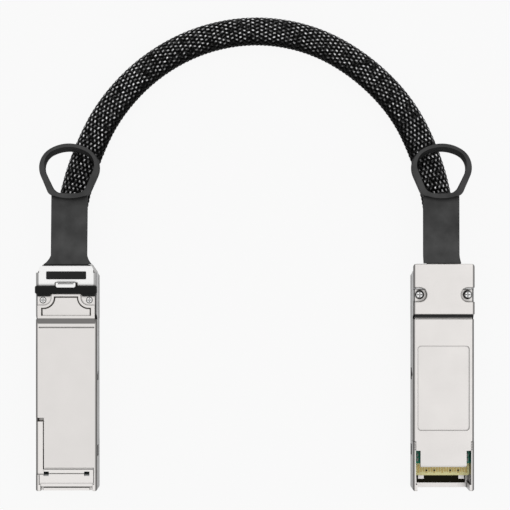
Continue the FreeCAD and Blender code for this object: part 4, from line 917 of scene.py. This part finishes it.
class BraidSleeve(bpy.types.Operator):
    """Braids strands of both directions round the sleeve's core"""

    bl_idname = "cable.braid_sleeve"
    bl_label = "Braid sleeve"

    def execute(self, context):
        tree, line = braid_tree(), route_line()
        material = braided_filament(context.scene.cable_finish, context.scene.cable_braid.pitch)
        hands = [braid_hand(context, "sleeve_strands_right_hand", tree, line, 1.0, material),
                 braid_hand(context, "sleeve_strands_left_hand", tree, line, -1.0, material)]
        for strands in hands:
            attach(strands, ROOT_BODY)
        bpy.data.meshes.remove(line)
        return {"FINISHED"}


# ---- Plugs ------------------------------------------------------------------------------------
class FinishPlugs(bpy.types.Operator):
    """Gives every part of both plugs its finish"""

    bl_idname = "cable.finish_plugs"
    bl_label = "Finish plugs"

    def execute(self, context):
        finishes = {}
        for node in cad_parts.values():
            for holder in node.material_slots:
                slot = holder.material.name
                if slot not in finishes:
                    finishes[slot] = SLOT_FINISHES[slot](context.scene.cable_finish)
                holder.material = finishes[slot]
        return {"FINISHED"}


# ---- Stage ------------------------------------------------------------------------------------
FLOOR_HALF = 2.5
FLOOR_WHITE = 0.92
AIM_LEVEL = 0.005
MAIN_LAMP_PLACE = (-0.04, 0.46, 0.50)
MAIN_LAMP_SIZE = 1.0
SECOND_LAMP_PLACE = (0.42, -0.06, 0.44)
SECOND_LAMP_SIZE = 0.50
SENSOR_WIDTH = 36.0
NEAREST_SEEN = 0.01


def seen_rays(tree):
    """1 for rays that show what they meet: the camera's, reflected and passed through glass."""
    ray = add_node(tree, "ShaderNodeLightPath")
    return maths(tree, "MAXIMUM", ray.outputs["Is Camera Ray"], maths(
        tree, "MAXIMUM", ray.outputs["Is Glossy Ray"], ray.outputs["Is Transmission Ray"]))


def pale_floor():
    """A wide pale surface that is white to the camera and keeps part of the shadow."""
    mesh = bpy.data.meshes.new("floor")
    half = FLOOR_HALF
    mesh.from_pydata([(-half, -half, 0), (half, -half, 0), (half, half, 0), (-half, half, 0)],
                     [], [(0, 1, 2, 3)])
    floor = bpy.data.objects.new("floor", mesh)
    bpy.context.scene.collection.objects.link(floor)
    material, tree, shader, place = start_material("pale_floor", 0.0, (0.50, 0.50, 0.50, 1.0), 0.9)
    grain = noise(tree, place, 40.0, 2.0)
    tree.links.new(mixed(tree, grain, (0.49, 0.49, 0.49, 1.0), (0.51, 0.51, 0.51, 1.0)),
                   shader.inputs["Base Color"])
    glow = add_node(tree, "ShaderNodeEmission", {"Color": (1, 1, 1, 1), "Strength": 1.0})
    white = maths(tree, "MULTIPLY", seen_rays(tree), FLOOR_WHITE)
    blend = add_node(tree, "ShaderNodeMixShader", {
        0: white, 1: shader.outputs[0], 2: glow.outputs[0]})
    output = next(node for node in tree.nodes if node.type == "OUTPUT_MATERIAL")
    tree.links.new(blend.outputs[0], output.inputs["Surface"])
    mesh.materials.append(material)


def white_room(strength):
    """Even light all round that is white to the camera and in reflections."""
    world = bpy.data.worlds.new("studio")
    bpy.context.scene.world = world
    world.use_nodes = True
    tree = world.node_tree
    tree.nodes.clear()
    level = add_node(tree, "ShaderNodeMix", {"Factor": seen_rays(tree), 2: strength, 3: 1.0},
                     data_type="FLOAT")
    light = add_node(tree, "ShaderNodeBackground", {
        "Color": (1, 1, 1, 1), "Strength": level.outputs[0]})
    add_node(tree, "ShaderNodeOutputWorld", {"Surface": light.outputs[0]})


def soft_lamp(name, place, aim, size, power):
    lamp = bpy.data.lights.new(name, "AREA")
    lamp.shape = "DISK"
    lamp.size = size
    lamp.energy = power
    holder = bpy.data.objects.new(name, lamp)
    holder.location = place
    holder.rotation_euler = (Vector(aim) - Vector(place)).to_track_quat("-Z", "Y").to_euler()
    bpy.context.scene.collection.objects.link(holder)


class SetStage(bpy.types.Operator):
    """Sets up the floor, the light and the camera"""

    bl_idname = "cable.set_stage"
    bl_label = "Set stage"

    def execute(self, context):
        stage = context.scene.cable_stage
        pale_floor()
        white_room(stage.sky_strength)
        aim = (0.0, stage.camera_forward, AIM_LEVEL)
        soft_lamp("main_lamp", MAIN_LAMP_PLACE, aim, MAIN_LAMP_SIZE, stage.key_power)
        soft_lamp("second_lamp", SECOND_LAMP_PLACE, aim, SECOND_LAMP_SIZE, stage.fill_power)
        lens = bpy.data.cameras.new("camera")
        lens.sensor_width = SENSOR_WIDTH
        lens.lens = stage.focal_length
        lens.clip_start = NEAREST_SEEN
        camera = bpy.data.objects.new("camera", lens)
        camera.location = (0.0, stage.camera_forward, stage.camera_height)
        context.scene.collection.objects.link(camera)
        context.scene.camera = camera
        context.scene.view_settings.view_transform = "Standard"
        return {"FINISHED"}


# ---- Panel and registration -------------------------------------------------------------------
STEPS = (SetStage, LaySleeveCore, BraidSleeve, FinishPlugs)


class CablePanel(bpy.types.Panel):
    """Lists the steps that dress the cable, and their settings"""

    bl_idname = "VIEW3D_PT_copper_cable"
    bl_label = "Copper cable"
    bl_space_type = "VIEW_3D"
    bl_region_type = "UI"
    bl_category = "Copper cable"

    def draw(self, context):
        for step in STEPS:
            self.layout.operator(step.bl_idname)
        for name, group in SETTINGS.items():
            box = self.layout.box()
            for setting in group.__annotations__:
                box.prop(getattr(context.scene, name), setting)


def register():
    for name, group in SETTINGS.items():
        bpy.utils.register_class(group)
        setattr(bpy.types.Scene, name, PointerProperty(type=group))
    for kind in (*STEPS, CablePanel):
        bpy.utils.register_class(kind)


def unregister():
    for kind in (CablePanel, *reversed(STEPS)):
        bpy.utils.unregister_class(kind)
    for name, group in SETTINGS.items():
        delattr(bpy.types.Scene, name)
        bpy.utils.unregister_class(group)


def main():
    register()
    bpy.ops.cable.set_stage()
    bpy.ops.cable.lay_sleeve_core()
    bpy.ops.cable.braid_sleeve()
    bpy.ops.cable.finish_plugs()


if __name__ == "__main__":
    main()
